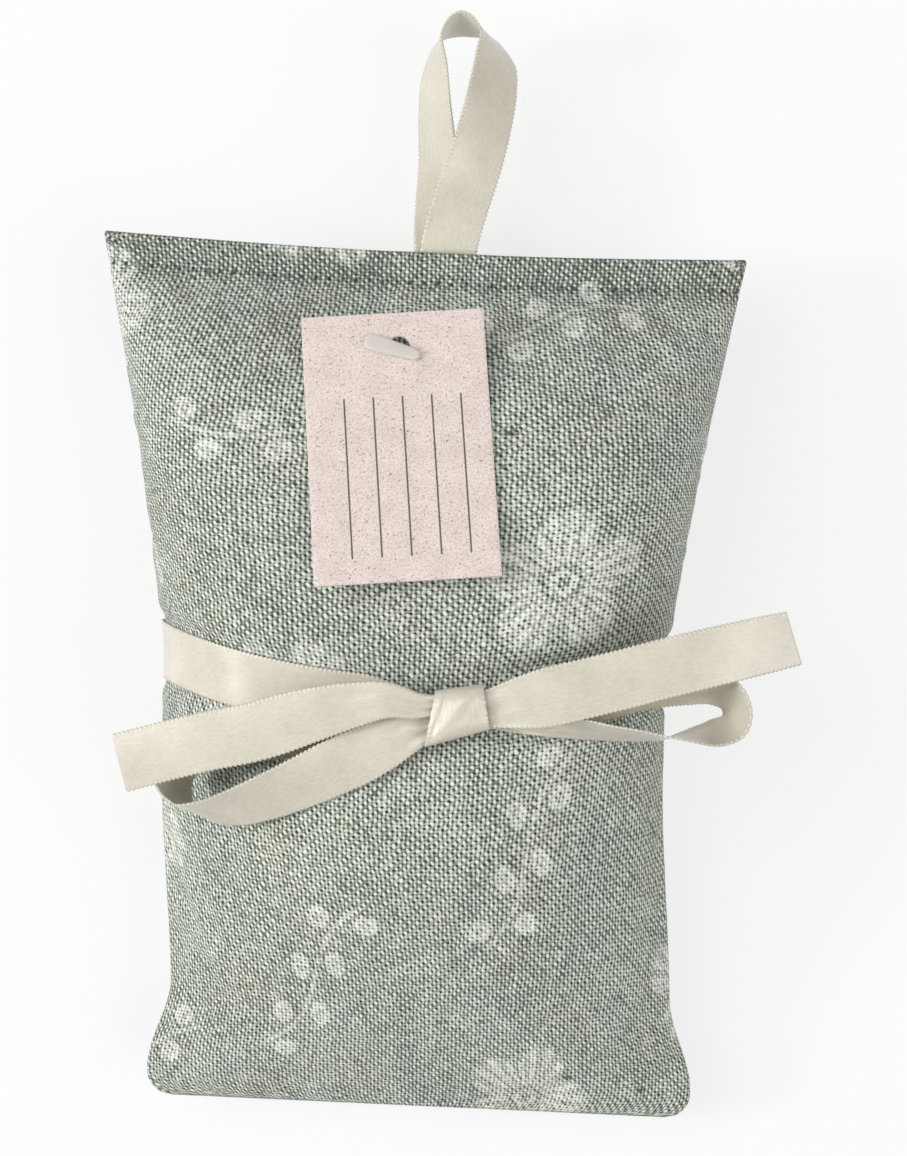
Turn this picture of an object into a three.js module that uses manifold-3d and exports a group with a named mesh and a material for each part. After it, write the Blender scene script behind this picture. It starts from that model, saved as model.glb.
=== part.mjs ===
import * as THREE from "three";
import { mergeVertices } from "three/addons/utils/BufferGeometryUtils.js";
import Module from "manifold-3d";

// Lavender sachet lying on its back, in millimetres.
// +Z comes out of the front, +Y points to the hem and its hanging loop.
// The origin is under the ribbon's back stretch, on the plane that the sachet rests on.

// Bag outline, seen from the front
const HEM_WIDTH = 115;
const WAIST_WIDTH = 90.4;
const HEM_Y = 73.6;
const FOOT_Y = -81.4;
const TAPER_POWER = 1.2;
const HEM_SAG = 1.4;
const HEM_SAG_RUN = 34;
const EAR = 4.2;
const EAR_START = 22;
const EAR_FULL = 5;
const CORNER_RADIUS = 4.5;
const FOOT_LEAN = 2.6;
const LEAN_START = 18;
const LEAN_FULL = 66;
const EDGE_TILT = 0.02;

// Bag depth: the seam line's height, and how far the cloth swells in front of it and behind it
const SEAM_WAIST = 17;
const SEAM_HEM = 20;
const SEAM_FOOT = 12;
const FRONT_CROWN = 27;
const BACK_CROWN = 21;
const STITCH_INSET = 5.4;
const FRONT_SHOULDER = 45;
const FRONT_FOOT = 60;
const BACK_SHOULDER = 40;
const BACK_FOOT = 36;
const SHOULDER_ROUND = 2.1;
const FOOT_ROUND = 1.8;
const FOOT_BLUNT = 0.9;
const FULL_FROM = -40;
const FULL_TO = 45;
const BACK_FULL = 0.6;
const LENS_POWER = 2;
const FULL_POWER = 4;
const HEM_POWER = 6;
const LENS_EDGE = 2 / 3;
const FULL_EDGE = 1 / 6;
const HEM_SQUARE_RUN = 8;

// Cloth, seams and clearances
const CLOTH = 0.6;
const ALLOWANCE = 7;
const HEM_TURN = 10;
const SEAM_GAP = 0.3;
const FIT_GAP = 0.3;
const SEAM_THREAD = 0.5;
const TOP_THREAD = 0.4;
const STITCH_LENGTH = 2.5;
const STITCH_DIP = 0.12;
const STITCH_END = 6;
const SEAM_THREAD_END = 9;
const FOOT_THREAD_SET = 1.55;

// Satin ribbon: the band round the waist, the bow and the hanging loop
const RIBBON_WIDTH = 10;
const RIBBON = 0.35;
const GROOVE_EDGE = 2.4;
const BAND_DIP = 7.2;
const BAND_DIP_FROM = 10;
const BAND_DIP_TO = 60;
const KNOT_X = 7.9;
const KNOT_WIDTH = 9;
const KNOT_LENGTH = 7.8;
const KNOT_HEIGHT = 5;
const KNOT_SLANT = 2.6;
const KNOT_LOW = 0.9;
const KNOT_PINCH = 0.12;
const KNOT_BLUNT_ALONG = 0.6;
const KNOT_BLUNT_UP = 0.7;
const ROOT_GAP = 0.6;
const ROOT_WIDTH = 4.6;
const GATHER_RUN = 14;
const BOW_STEP = 1;
const LOOP_X = 3.6;
const LOOP_SEWN = 8.5;
const LOOP_SHIFT = 0.6;
const POCKET_EDGE = 5;

// Swing tag and its plastic pin
const CARD_WIDTH = 31.5;
const CARD_LENGTH = 48.5;
const CARD = 0.5;
const CARD_CORNER = 0.6;
const CARD_HOLE = 3.6;
const CARD_HOLE_INSET = 6.2;
const CARD_HOLE_SHIFT = 0.9;
const CARD_SLOPE = 17;
const CARD_TURN = 5;
const CARD_TOUCH_Y = 37;
const CARD_X = -3.8;
const PIN = 0.8;
const PIN_HOLE = 2;
const PADDLE_LENGTH = 10;
const PADDLE_WIDTH = 2.7;
const PADDLE = 0.8;
const PADDLE_TURN = -16;
const PADDLE_SHIFT = -1;
const PADDLE_DROP = 0.9;
const BAR_LENGTH = 9;
const BAR = 1.1;
const BAR_ROOM = 0.5;

const RAD = Math.PI / 180;
const STITCH_Y = HEM_Y - STITCH_INSET;
const HEM_PLIES = 2 * CLOTH;
const GROOVE = RIBBON + FIT_GAP;
const GROOVE_HALF = RIBBON_WIDTH / 2 + 2 * FIT_GAP;
const POCKET_LIFT = RIBBON + 1.5 * FIT_GAP - SEAM_GAP / 2;
const POCKET_HALF = RIBBON_WIDTH / 2 + LOOP_SHIFT + FIT_GAP;
const FRONT = 1;
const BACK = -1;

// How finely the surfaces are divided
const COLUMN_COUNT = 24;
const FOOT_ROWS = 11;
const SHOULDER_ROWS = 9;
const FOOT_GRADING = 1.7;
const SHOULDER_GRADING = 0.85;
const LOOP_SPANS = 45;
const BOW_LOOP_SPANS = 36;
const BOW_TAIL_SPANS = 16;
const KNOT_SPANS = 6;
const KNOT_SIDES = 16;
const SEAM_THREAD_SIDES = 6;
const TOP_THREAD_SIDES = 4;
const PIN_SIDES = 8;
const HOLE_SIDES = 10;
const CORNER_SPANS = 6;
const WELD = 1e-4;

const wasm = await Module();
wasm.setup();

const smooth = THREE.MathUtils.smoothstep;
const mix = THREE.MathUtils.lerp;
const unit = (t) => THREE.MathUtils.clamp(t, 0, 1);

// Bag surface

// Half the bag's width at a row: a taper down to the waist, and two small ears at the rounded foot corners.
function halfWidth(row) {
  const up = row - FOOT_Y;
  const taper = unit(row / HEM_Y) ** TAPER_POWER;
  const ear = EAR * smooth(EAR_START - up, 0, EAR_START - EAR_FULL);
  const intoCorner = Math.max(0, CORNER_RADIUS - up);
  const corner = CORNER_RADIUS - Math.sqrt(CORNER_RADIUS ** 2 - intoCorner ** 2);
  return WAIST_WIDTH / 2 + ((HEM_WIDTH - WAIST_WIDTH) / 2) * taper + ear - corner;
}

function seamHeight(row) {
  return row > 0
    ? mix(SEAM_WAIST, SEAM_HEM, unit(row / (STITCH_Y - HEM_TURN)) ** 2)
    : mix(SEAM_WAIST, SEAM_FOOT, (row / FOOT_Y) ** 2);
}

// How far the cloth stands off the seam plane on the centre line, from the hem over the crown to the foot.
function swell(face, row) {
  const crown = face === FRONT ? FRONT_CROWN : BACK_CROWN;
  const shoulderRun = face === FRONT ? FRONT_SHOULDER : BACK_SHOULDER;
  const footRun = face === FRONT ? FRONT_FOOT : BACK_FOOT;
  const down = unit((STITCH_Y - row) / shoulderRun);
  const up = unit((row - FOOT_Y) / footRun);
  const shoulder = HEM_PLIES + (crown - HEM_PLIES) * (1 - (1 - down) ** SHOULDER_ROUND);
  const foot = crown * (1 - (1 - up) ** FOOT_ROUND) ** FOOT_BLUNT;
  return Math.min(shoulder, foot);
}

// Cross-section, 1 on the centre line and 0 at the seams: a lens at the foot, boxier towards the hem.
function section(face, across, row) {
  const full = face === FRONT ? smooth(row, FULL_FROM, FULL_TO) : BACK_FULL;
  const hem = smooth(row, STITCH_Y - HEM_SQUARE_RUN, STITCH_Y);
  const power = LENS_POWER + FULL_POWER * full + HEM_POWER * hem;
  return (1 - Math.abs(across) ** power) ** (LENS_EDGE - FULL_EDGE * full);
}

// The shallow channel that the tied ribbon presses into the cloth, all round the waist.
function groove(row) {
  return GROOVE * (1 - smooth(Math.abs(row), GROOVE_HALF, GROOVE_HALF + GROOVE_EDGE));
}

// The hem opens a little where the two ends of the hanging loop are sewn in.
function pocket(x, row) {
  const beside = 1 - smooth(Math.abs(x - LOOP_X), POCKET_HALF, POCKET_HALF + POCKET_EDGE);
  return POCKET_LIFT * beside * smooth(row, STITCH_Y - HEM_TURN, STITCH_Y - STITCH_INSET);
}

// A point of the bag's skin: u runs from seam to seam, row from foot to hem, inset is depth under the skin.
function bagPoint(face, u, row, inset = 0) {
  const across = Math.sin((u * Math.PI) / 2);
  const sink = inset + groove(row);
  const x = (halfWidth(row) - sink) * across + FOOT_LEAN * smooth(-row, LEAN_START, LEAN_FULL);
  const off = SEAM_GAP / 2 + Math.max(0, swell(face, row) - sink) * section(face, across, row);
  const height = seamHeight(row) + face * (off + pocket(x, row));
  const z = face === BACK ? Math.max(sink, height) : height;
  const dip = face === FRONT ? BAND_DIP * (1 - smooth(Math.abs(row), BAND_DIP_FROM, BAND_DIP_TO)) : 0;
  const sag = HEM_SAG * smooth(row, HEM_Y - HEM_SAG_RUN, HEM_Y);
  const footInset = inset * (1 - smooth(row, FOOT_Y, FOOT_Y + EAR_START));
  const y = row + footInset - (dip + sag) * (1 - across ** 2) - EDGE_TILT * x;
  return new THREE.Vector3(x, y, z);
}

// 1 where the cloth is doubled by a turned-in seam allowance or by the hem's turning, else 0.
function doubled(u, row) {
  const across = Math.abs(Math.sin((u * Math.PI) / 2));
  const bySide = halfWidth(row) * (1 - across) < ALLOWANCE;
  return bySide || row < FOOT_Y + ALLOWANCE || row > HEM_Y - HEM_TURN ? 1 : 0;
}

const clothInset = (u, row) => CLOTH * (1 + doubled(u, row));
const fillInset = (u, row) => HEM_PLIES + FIT_GAP + doubled(u, row) * (SEAM_THREAD + 2 * FIT_GAP);

// Columns bunch up at the seams by the sine in bagPoint, rows at the foot, the band's channel and the hem.
const columns = Array.from({ length: COLUMN_COUNT + 1 }, (_, i) => (2 * i) / COLUMN_COUNT - 1);
const channelEdge = GROOVE_HALF + GROOVE_EDGE;
const rows = [];
for (let i = 0; i <= FOOT_ROWS; i++) {
  rows.push(mix(FOOT_Y, -channelEdge, (i / FOOT_ROWS) ** FOOT_GRADING));
}
rows.push(-GROOVE_HALF, GROOVE_HALF);
for (let i = 0; i <= SHOULDER_ROWS; i++) {
  rows.push(mix(channelEdge, STITCH_Y, (i / SHOULDER_ROWS) ** SHOULDER_GRADING));
}
rows.push(HEM_Y);

function skinGrid(face, rowList, columnList, insetAt) {
  return rowList.map((row) => columnList.map((u) => bagPoint(face, u, row, insetAt(u, row))));
}

// Geometry builders

function meshFrom(points, triangles) {
  const geometry = new THREE.BufferGeometry();
  geometry.setAttribute(
    "position",
    new THREE.Float32BufferAttribute(points.flatMap((p) => [p.x, p.y, p.z]), 3),
  );
  geometry.setIndex(triangles);
  return geometry;
}

// A closed solid between two grids of points, columns along +X and rows along +Y, the first grid on top.
function sheetSolid(top, under) {
  const rowCount = top.length;
  const width = top[0].length;
  const base = rowCount * width;
  const triangles = [];
  const quad = (a, b, c, d) => triangles.push(a, b, c, a, c, d);
  const at = (r, c) => r * width + c;
  for (let r = 0; r < rowCount - 1; r++) {
    for (let c = 0; c < width - 1; c++) {
      quad(at(r, c), at(r, c + 1), at(r + 1, c + 1), at(r + 1, c));
      quad(base + at(r, c), base + at(r + 1, c), base + at(r + 1, c + 1), base + at(r, c + 1));
    }
    const last = width - 1;
    quad(base + at(r + 1, 0), base + at(r, 0), at(r, 0), at(r + 1, 0));
    quad(base + at(r, last), base + at(r + 1, last), at(r + 1, last), at(r, last));
  }
  const end = rowCount - 1;
  for (let c = 0; c < width - 1; c++) {
    quad(base + at(0, c), base + at(0, c + 1), at(0, c + 1), at(0, c));
    quad(base + at(end, c + 1), base + at(end, c), at(end, c), at(end, c + 1));
  }
  return meshFrom([...top.flat(), ...under.flat()], triangles);
}

// A solid through rings of points, each ring turning right-handed about the direction of travel.
// Opposite sides of a thin ring are split along matching diagonals, so a twisted ribbon stays even.
function loftSolid(rings, closed = false) {
  const count = rings[0].length;
  const triangles = [];
  const spans = closed ? rings.length : rings.length - 1;
  for (let r = 0; r < spans; r++) {
    const next = (r + 1) % rings.length;
    for (let i = 0; i < count; i++) {
      const j = (i + 1) % count;
      const [a, b, c, d] = [r * count + i, r * count + j, next * count + j, next * count + i];
      if (2 * i < count) triangles.push(a, b, c, a, c, d);
      else triangles.push(a, b, d, b, c, d);
    }
  }
  const lastRing = (rings.length - 1) * count;
  for (let i = 1; i < count - 1 && !closed; i++) {
    triangles.push(0, i + 1, i, lastRing, lastRing + i, lastRing + i + 1);
  }
  return meshFrom(rings.flat(), triangles);
}

// The four corners of a ribbon's section at a point of its path.
function ribbonRing(centre, tangent, across, width) {
  const side = across.clone().addScaledVector(tangent, -across.dot(tangent)).normalize();
  const normal = tangent.clone().cross(side);
  const corner = (s, n) =>
    centre
      .clone()
      .addScaledVector(side, (s * width) / 2)
      .addScaledVector(normal, (n * RIBBON) / 2);
  return [corner(-1, -1), corner(1, -1), corner(1, 1), corner(-1, 1)];
}

// A stretch of ribbon along a route of [x, y, z, roll]: roll 0 lies flat, 90 stands on its edge.
function ribbonAlong(route, steps, widthAt) {
  const path = new THREE.CatmullRomCurve3(route.map(([x, y, z]) => new THREE.Vector3(x, y, z)));
  const rolls = new THREE.CatmullRomCurve3(route.map((p) => new THREE.Vector3(p[3], 0, 0)));
  const up = new THREE.Vector3(0, 0, 1);
  const rings = [];
  for (let i = 0; i <= steps; i++) {
    const t = i / steps;
    const tangent = path.getTangent(t);
    const flat = tangent.clone().cross(up).normalize();
    const roll = rolls.getPoint(t).x * RAD;
    const across = flat.clone().multiplyScalar(Math.cos(roll));
    across.addScaledVector(tangent.clone().cross(flat), Math.sin(roll));
    rings.push(ribbonRing(path.getPoint(t), tangent, across, widthAt(t)));
  }
  return loftSolid(rings);
}

function threadAlong(points, diameter, sides, steps) {
  const corners = Array.from({ length: sides }, (_, k) => (k * 2 * Math.PI) / sides);
  const outline = new THREE.Shape(
    corners.map((a) => new THREE.Vector2(Math.cos(a), Math.sin(a)).multiplyScalar(diameter / 2)),
  );
  const extrudePath = new THREE.CatmullRomCurve3(points);
  return new THREE.ExtrudeGeometry(outline, { steps, extrudePath, bevelEnabled: false });
}

function solidOf(geometry) {
  const bare = geometry.clone();
  bare.deleteAttribute("normal");
  bare.deleteAttribute("uv");
  const merged = mergeVertices(bare, WELD);
  const vertProperties = new Float32Array(merged.attributes.position.array);
  const triVerts = new Uint32Array(merged.index.array);
  return new wasm.Manifold(new wasm.Mesh({ numProp: 3, vertProperties, triVerts }));
}

function geometryOf(solid) {
  const { numProp, vertProperties, triVerts } = solid.getMesh();
  const points = [];
  for (let i = 0; i < vertProperties.length; i += numProp) {
    points.push(new THREE.Vector3(...vertProperties.subarray(i, i + 3)));
  }
  return meshFrom(points, Array.from(triVerts));
}

const part = new THREE.Group();

function addPiece(name, geometry, finish, parent = part) {
  const mesh = new THREE.Mesh(geometry, new THREE.MeshStandardMaterial(finish));
  mesh.name = name;
  parent.add(mesh);
  return mesh;
}

const clothFinish = { color: 0xa5aba1, roughness: 0.92, metalness: 0 };
const budsFinish = { color: 0x77688a, roughness: 0.95, metalness: 0 };
const threadFinish = { color: 0xc4c8bc, roughness: 0.8, metalness: 0 };
const satinFinish = { color: 0xdcd4c6, roughness: 0.42, metalness: 0 };
const cardFinish = { color: 0xe2d7d1, roughness: 0.85, metalness: 0 };
const nylonFinish = { color: 0xe6e4e0, roughness: 0.35, metalness: 0 };

// Swing tag's frame: the card lies on the swelling front, held up at its hole by the pin.
// Here +Z is the card's upward normal, +Y runs to its top edge, and the origin is the hole's centre.

const touch = bagPoint(FRONT, 0, CARD_TOUCH_Y + HEM_SAG);
const cardRise = FIT_GAP / Math.cos(CARD_SLOPE * RAD) + CARD / 2 + FIT_GAP / 2;
const holeY = CARD_TOUCH_Y + (CARD_LENGTH / 2 - CARD_HOLE_INSET) * Math.cos(CARD_SLOPE * RAD);
const holeZ = touch.z + cardRise - (holeY - touch.y) * Math.tan(CARD_SLOPE * RAD);
const tagFrame = new THREE.Group();
tagFrame.position.set(CARD_X, holeY, holeZ);
tagFrame.rotation.set(-CARD_SLOPE * RAD, 0, 0);
tagFrame.updateMatrix();
part.add(tagFrame);

// The pin's line meets the skin a little below the card: walk down it until the skin is reached.
function skinDepthBelowHole() {
  const along = new THREE.Vector3();
  for (let depth = 0; depth < FRONT_CROWN; depth += FIT_GAP / 10) {
    along.set(0, 0, -depth).applyMatrix4(tagFrame.matrix);
    const row = along.y + HEM_SAG * smooth(along.y, HEM_Y - HEM_SAG_RUN, HEM_Y) + EDGE_TILT * along.x;
    const u = (Math.asin(along.x / halfWidth(row)) * 2) / Math.PI;
    if (bagPoint(FRONT, u, row).z >= along.z) return depth;
  }
  return FRONT_CROWN;
}
const pinDepth = skinDepthBelowHole();
const barDepth = pinDepth + CLOTH + FIT_GAP + BAR;

function pinStem(from, to) {
  const stem = new THREE.CylinderGeometry(PIN / 2, PIN / 2, to - from, PIN_SIDES);
  return stem.rotateX(Math.PI / 2).translate(0, 0, (from + to) / 2);
}

// Bag

function frontPanel() {
  const cloth = sheetSolid(
    skinGrid(FRONT, rows, columns, () => 0),
    skinGrid(FRONT, rows, columns, clothInset),
  );
  const hole = new THREE.CylinderGeometry(PIN_HOLE / 2, PIN_HOLE / 2, 2 * barDepth, HOLE_SIDES);
  hole.rotateX(Math.PI / 2).translate(0, 0, -pinDepth).applyMatrix4(tagFrame.matrix);
  return geometryOf(solidOf(cloth).subtract(solidOf(hole)));
}

function backPanel() {
  return sheetSolid(
    skinGrid(BACK, rows, columns, clothInset),
    skinGrid(BACK, rows, columns, () => 0),
  );
}

// The loose buds as one solid, with a pocket for the pin's cross bar.
function lavenderFilling() {
  const inner = rows.filter((row) => row > FOOT_Y + EAR_FULL && row < STITCH_Y - HEM_TURN / 2);
  const sparse = columns.filter((_, i) => i % 2 === 0);
  const buds = sheetSolid(
    skinGrid(FRONT, inner, sparse, fillInset),
    skinGrid(BACK, inner, sparse, fillInset),
  );
  const room = BAR + 2 * BAR_ROOM;
  const barRoom = new THREE.BoxGeometry(BAR_LENGTH + 2 * BAR_ROOM, room, 2 * room);
  barRoom.translate(0, 0, -barDepth + room / 2).applyMatrix4(tagFrame.matrix);
  return geometryOf(solidOf(buds).subtract(solidOf(barRoom)));
}

// Inside seam thread beside a side seam, in the angle between the two panels.
function sideThread(side) {
  const inset = HEM_PLIES + FIT_GAP + SEAM_THREAD / 2;
  const points = rows
    .filter((row) => row > FOOT_Y + SEAM_THREAD_END && row < STITCH_Y - SEAM_THREAD_END / 2)
    .map((row) => bagPoint(FRONT, side, row, inset).setZ(seamHeight(row)));
  return threadAlong(points, SEAM_THREAD, SEAM_THREAD_SIDES, 2 * points.length);
}

function footThread() {
  const inset = HEM_PLIES + FOOT_THREAD_SET;
  const points = columns
    .filter((u) => halfWidth(FOOT_Y) * (1 - Math.abs(Math.sin((u * Math.PI) / 2))) > SEAM_THREAD)
    .map((u) => bagPoint(FRONT, u, FOOT_Y, inset).setZ(SEAM_FOOT));
  return threadAlong(points, SEAM_THREAD, SEAM_THREAD_SIDES, points.length);
}

// Closing row of stitches: one thread that dips at each needle hole.
function closingThread(face) {
  const reach = HEM_WIDTH / 2 - STITCH_END;
  const count = Math.round((2 * reach) / STITCH_LENGTH);
  const points = [];
  for (let i = 0; i <= 2 * count; i++) {
    const u = (Math.asin((-reach + (i * reach) / count) / (HEM_WIDTH / 2)) * 2) / Math.PI;
    const point = bagPoint(face, u, STITCH_Y, -FIT_GAP - TOP_THREAD / 2);
    point.z += face * (i % 2 === 0 ? 0 : STITCH_DIP);
    points.push(point);
  }
  return threadAlong(points, TOP_THREAD, TOP_THREAD_SIDES, 2 * count);
}

addPiece("front_panel", frontPanel(), clothFinish);
addPiece("back_panel", backPanel(), clothFinish);
addPiece("lavender_filling", lavenderFilling(), budsFinish);
addPiece("side_seam_thread_left", sideThread(-1), threadFinish);
addPiece("side_seam_thread_right", sideThread(1), threadFinish);
addPiece("foot_seam_thread", footThread(), threadFinish);
addPiece("closing_stitch_front", closingThread(FRONT), threadFinish);
addPiece("closing_stitch_back", closingThread(BACK), threadFinish);

// Hanging loop: its ends are sewn into the hem, one on the other, and the free loop starts at the hem's edge

const loopU = (Math.asin((2 * LOOP_X) / HEM_WIDTH) * 2) / Math.PI;
const hemEdge = bagPoint(FRONT, loopU, HEM_Y).y;
const legLift = (RIBBON + FIT_GAP) / 2;

function sewnEnd(side) {
  const end = new THREE.BoxGeometry(RIBBON_WIDTH, LOOP_SEWN, RIBBON);
  const middle = hemEdge - FIT_GAP - LOOP_SEWN / 2;
  return end.translate(LOOP_X + side * LOOP_SHIFT, middle, SEAM_HEM + side * legLift);
}

// Offsets from the loop's place on the hem's edge: up the front leg, over the top, down the back leg.
const LOOP_ROUTE = [
  [LOOP_SHIFT, FIT_GAP, legLift, 0],
  [LOOP_SHIFT, 1.6, 0.5, 0],
  [1.3, 5, 1, 4],
  [2.6, 9.6, 1.3, 8],
  [4.7, 16.3, 1.2, 15],
  [6.4, 23.5, 0.5, 23],
  [7.7, 29.8, -0.5, 32],
  [8, 34.4, -1.6, 43],
  [6.6, 38.7, -2.8, 80],
  [1.9, 40.6, -3.6, 116],
  [-2.3, 38, -3.4, 84],
  [-3, 32.4, -2.8, 61],
  [-2.9, 25.8, -2.2, 48],
  [-1.8, 18.1, -1.5, 25],
  [-1.1, 9.6, -1.2, 10],
  [-0.8, 5, -0.9, 4],
  [-LOOP_SHIFT, 1.6, -0.5, 0],
  [-LOOP_SHIFT, FIT_GAP, -legLift, 0],
];

function hangingLoop() {
  const route = LOOP_ROUTE.map(([x, y, z, roll]) => [LOOP_X + x, hemEdge + y, SEAM_HEM + z, roll]);
  return ribbonAlong(route, LOOP_SPANS, () => RIBBON_WIDTH);
}

addPiece("loop_end_front", sewnEnd(1), satinFinish);
addPiece("loop_end_back", sewnEnd(-1), satinFinish);
addPiece("hanging_loop", hangingLoop(), satinFinish);

// Ribbon band and bow

// The band lies in its channel, flush with the skin round it.
function ribbonBand() {
  const reach = RIBBON_WIDTH / 2;
  const inside = columns.slice(1, -1);
  const stations = [...columns.map((u) => [FRONT, u]), ...inside.toReversed().map((u) => [BACK, u])];
  const rings = stations.map(([face, u]) => [
    bagPoint(face, u, -reach, -FIT_GAP),
    bagPoint(face, u, reach, -FIT_GAP),
    bagPoint(face, u, reach, -FIT_GAP - RIBBON),
    bagPoint(face, u, -reach, -FIT_GAP - RIBBON),
  ]);
  return loftSolid(rings, true);
}

const knotU = (Math.asin((2 * KNOT_X) / WAIST_WIDTH) * 2) / Math.PI;
const knotSeat = bagPoint(FRONT, knotU, 0, -FIT_GAP - RIBBON);
const knotBase = knotSeat.z + FIT_GAP;
const knotY = knotSeat.y - KNOT_LOW;
const knotLeft = KNOT_X - KNOT_WIDTH / 2;
const knotRight = KNOT_X + KNOT_WIDTH / 2;

// The tight wrap round the bow's middle: rounded sections that slant up to the right, fullest in the middle.
function bowKnot() {
  const rings = [];
  for (let i = 0; i <= KNOT_SPANS; i++) {
    const t = i / KNOT_SPANS;
    const full = 1 - KNOT_PINCH * (2 * t - 1) ** 2;
    const ring = [];
    for (let k = 0; k < KNOT_SIDES; k++) {
      const angle = (k * 2 * Math.PI) / KNOT_SIDES;
      const y = Math.sign(Math.cos(angle)) * Math.abs(Math.cos(angle)) ** KNOT_BLUNT_ALONG;
      const z = Math.sign(Math.sin(angle)) * Math.abs(Math.sin(angle)) ** KNOT_BLUNT_UP;
      ring.push(
        new THREE.Vector3(
          mix(knotLeft, knotRight, t),
          knotY + KNOT_SLANT * (t - 0.5) + (KNOT_LENGTH / 2) * full * y,
          knotBase + (KNOT_HEIGHT / 2) * (1 + full * z),
        ),
      );
    }
    rings.push(ring);
  }
  return loftSolid(rings);
}

// Ribbon gathers to its root width where it goes into the knot.
const gather = (distance) => mix(ROOT_WIDTH, RIBBON_WIDTH, smooth(distance, 0, GATHER_RUN));

// A stretch of the bow: its route counts steps from the knot's side face, the knot's middle and its base.
function bowRibbon(side, offsets, steps, bothEndsGathered) {
  const root = (side < 0 ? knotLeft : knotRight) + side * ROOT_GAP;
  const route = offsets.map(([x, y, z, roll]) => [
    root + side * x * BOW_STEP,
    knotY + y * BOW_STEP,
    knotBase + z * BOW_STEP,
    roll,
  ]);
  const path = new THREE.CatmullRomCurve3(route.map(([x, y, z]) => new THREE.Vector3(x, y, z)));
  const length = path.getLength();
  const widthAt = (t) => gather(length * (bothEndsGathered ? Math.min(t, 1 - t) : t));
  return ribbonAlong(route, steps, widthAt);
}

const LEFT_LOOP_ROUTE = [
  [0, -3, 2, 180],
  [2.4, -3.1, 2, 180],
  [7.4, -5.6, 1.8, 176],
  [14.2, -8.6, 1.4, 170],
  [21.3, -11.6, 1.2, 164],
  [29.8, -15.2, 0.6, 156],
  [37.6, -16.9, -0.9, 142],
  [43.8, -15.8, -3.3, 115],
  [46.4, -13, -4.9, 90],
  [44.4, -9.6, -5, 68],
  [37.8, -7.4, -3, 44],
  [28.8, -5, -0.9, 20],
  [17.8, -2.2, 0.6, 8],
  [7.8, -0.4, 1, 3],
  [2.4, 0, 1, 0],
  [0, 0, 1, 0],
];

const RIGHT_LOOP_ROUTE = [
  [0, -1.6, 1.8, 0],
  [2.4, -1.7, 1.8, 4],
  [7.4, -3.2, 1.4, 18],
  [15, -5, 0.8, 40],
  [23, -5, 0.6, 60],
  [31, -4.4, 0.1, 74],
  [38, -4, -1, 84],
  [43, -1.4, -2.4, 95],
  [44, 2.1, -3.3, 106],
  [41.3, 5.2, -3.6, 124],
  [35, 6.5, -2.8, 140],
  [27, 5.7, -1.2, 150],
  [17, 3.4, 0.3, 164],
  [7, 1.6, 0.9, 175],
  [2.4, 1, 0.9, 180],
  [0, 1, 0.9, 180],
];

const LEFT_TAIL_ROUTE = [
  [0, 1.2, 3.7, 180],
  [2, 1.2, 3.8, 180],
  [7, 1.4, 4.3, 180],
  [19.8, -1.1, 4.3, 180],
  [29.8, -4.1, 3.6, 180],
  [38.4, -6.1, 2.6, 180],
  [52, -10, 0.3, 180],
];

const RIGHT_TAIL_ROUTE = [
  [0, 2, 3.7, 0],
  [2, 2, 3.8, 0],
  [7.8, 2.6, 4.5, 0],
  [21.2, 6.2, 4.4, 0],
  [29.7, 8.6, 3.7, 0],
  [40.9, 11.5, 2.6, 0],
  [52.2, 14.3, 0.7, 0],
];

addPiece("ribbon_band", ribbonBand(), satinFinish);
addPiece("bow_knot", bowKnot(), satinFinish);
addPiece("bow_loop_left", bowRibbon(-1, LEFT_LOOP_ROUTE, BOW_LOOP_SPANS, true), satinFinish);
addPiece("bow_loop_right", bowRibbon(1, RIGHT_LOOP_ROUTE, BOW_LOOP_SPANS, true), satinFinish);
addPiece("bow_tail_left", bowRibbon(-1, LEFT_TAIL_ROUTE, BOW_TAIL_SPANS, false), satinFinish);
addPiece("bow_tail_right", bowRibbon(1, RIGHT_TAIL_ROUTE, BOW_TAIL_SPANS, false), satinFinish);

// Swing tag

function swingTag() {
  const left = -CARD_WIDTH / 2 - CARD_HOLE_SHIFT;
  const top = CARD_HOLE_INSET;
  const [right, bottom, r] = [left + CARD_WIDTH, top - CARD_LENGTH, CARD_CORNER];
  const outline = new THREE.Shape();
  outline.absarc(right - r, top - r, r, 0, Math.PI / 2);
  outline.absarc(left + r, top - r, r, Math.PI / 2, Math.PI);
  outline.absarc(left + r, bottom + r, r, Math.PI, 1.5 * Math.PI);
  outline.absarc(right - r, bottom + r, r, 1.5 * Math.PI, 2 * Math.PI);
  outline.holes.push(new THREE.Path().absarc(0, 0, CARD_HOLE / 2, 0, 2 * Math.PI));
  const options = { depth: CARD, bevelEnabled: false, curveSegments: CORNER_SPANS };
  const card = new THREE.ExtrudeGeometry(outline, options);
  return card.translate(0, 0, -CARD / 2).rotateZ(CARD_TURN * RAD);
}

// Above the cloth the pin is a stem through the card's hole and a flat paddle that lies on the card.
function pinHead() {
  const paddleBase = CARD / 2 + FIT_GAP;
  const paddle = new THREE.BoxGeometry(PADDLE_LENGTH, PADDLE_WIDTH, PADDLE);
  paddle.translate(PADDLE_SHIFT, -PADDLE_DROP, paddleBase + PADDLE / 2).rotateZ(PADDLE_TURN * RAD);
  const stem = pinStem(-pinDepth + FIT_GAP / 2, paddleBase + PADDLE / 2);
  return geometryOf(solidOf(paddle).add(solidOf(stem)));
}

// In the cloth and under it the pin goes on to a cross bar that can't pull back through the weave.
function pinBar() {
  const bar = new THREE.CylinderGeometry(BAR / 2, BAR / 2, BAR_LENGTH, PIN_SIDES).rotateZ(Math.PI / 2);
  bar.translate(0, 0, -barDepth);
  return geometryOf(solidOf(bar).add(solidOf(pinStem(-barDepth, -pinDepth - FIT_GAP / 2))));
}

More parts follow.
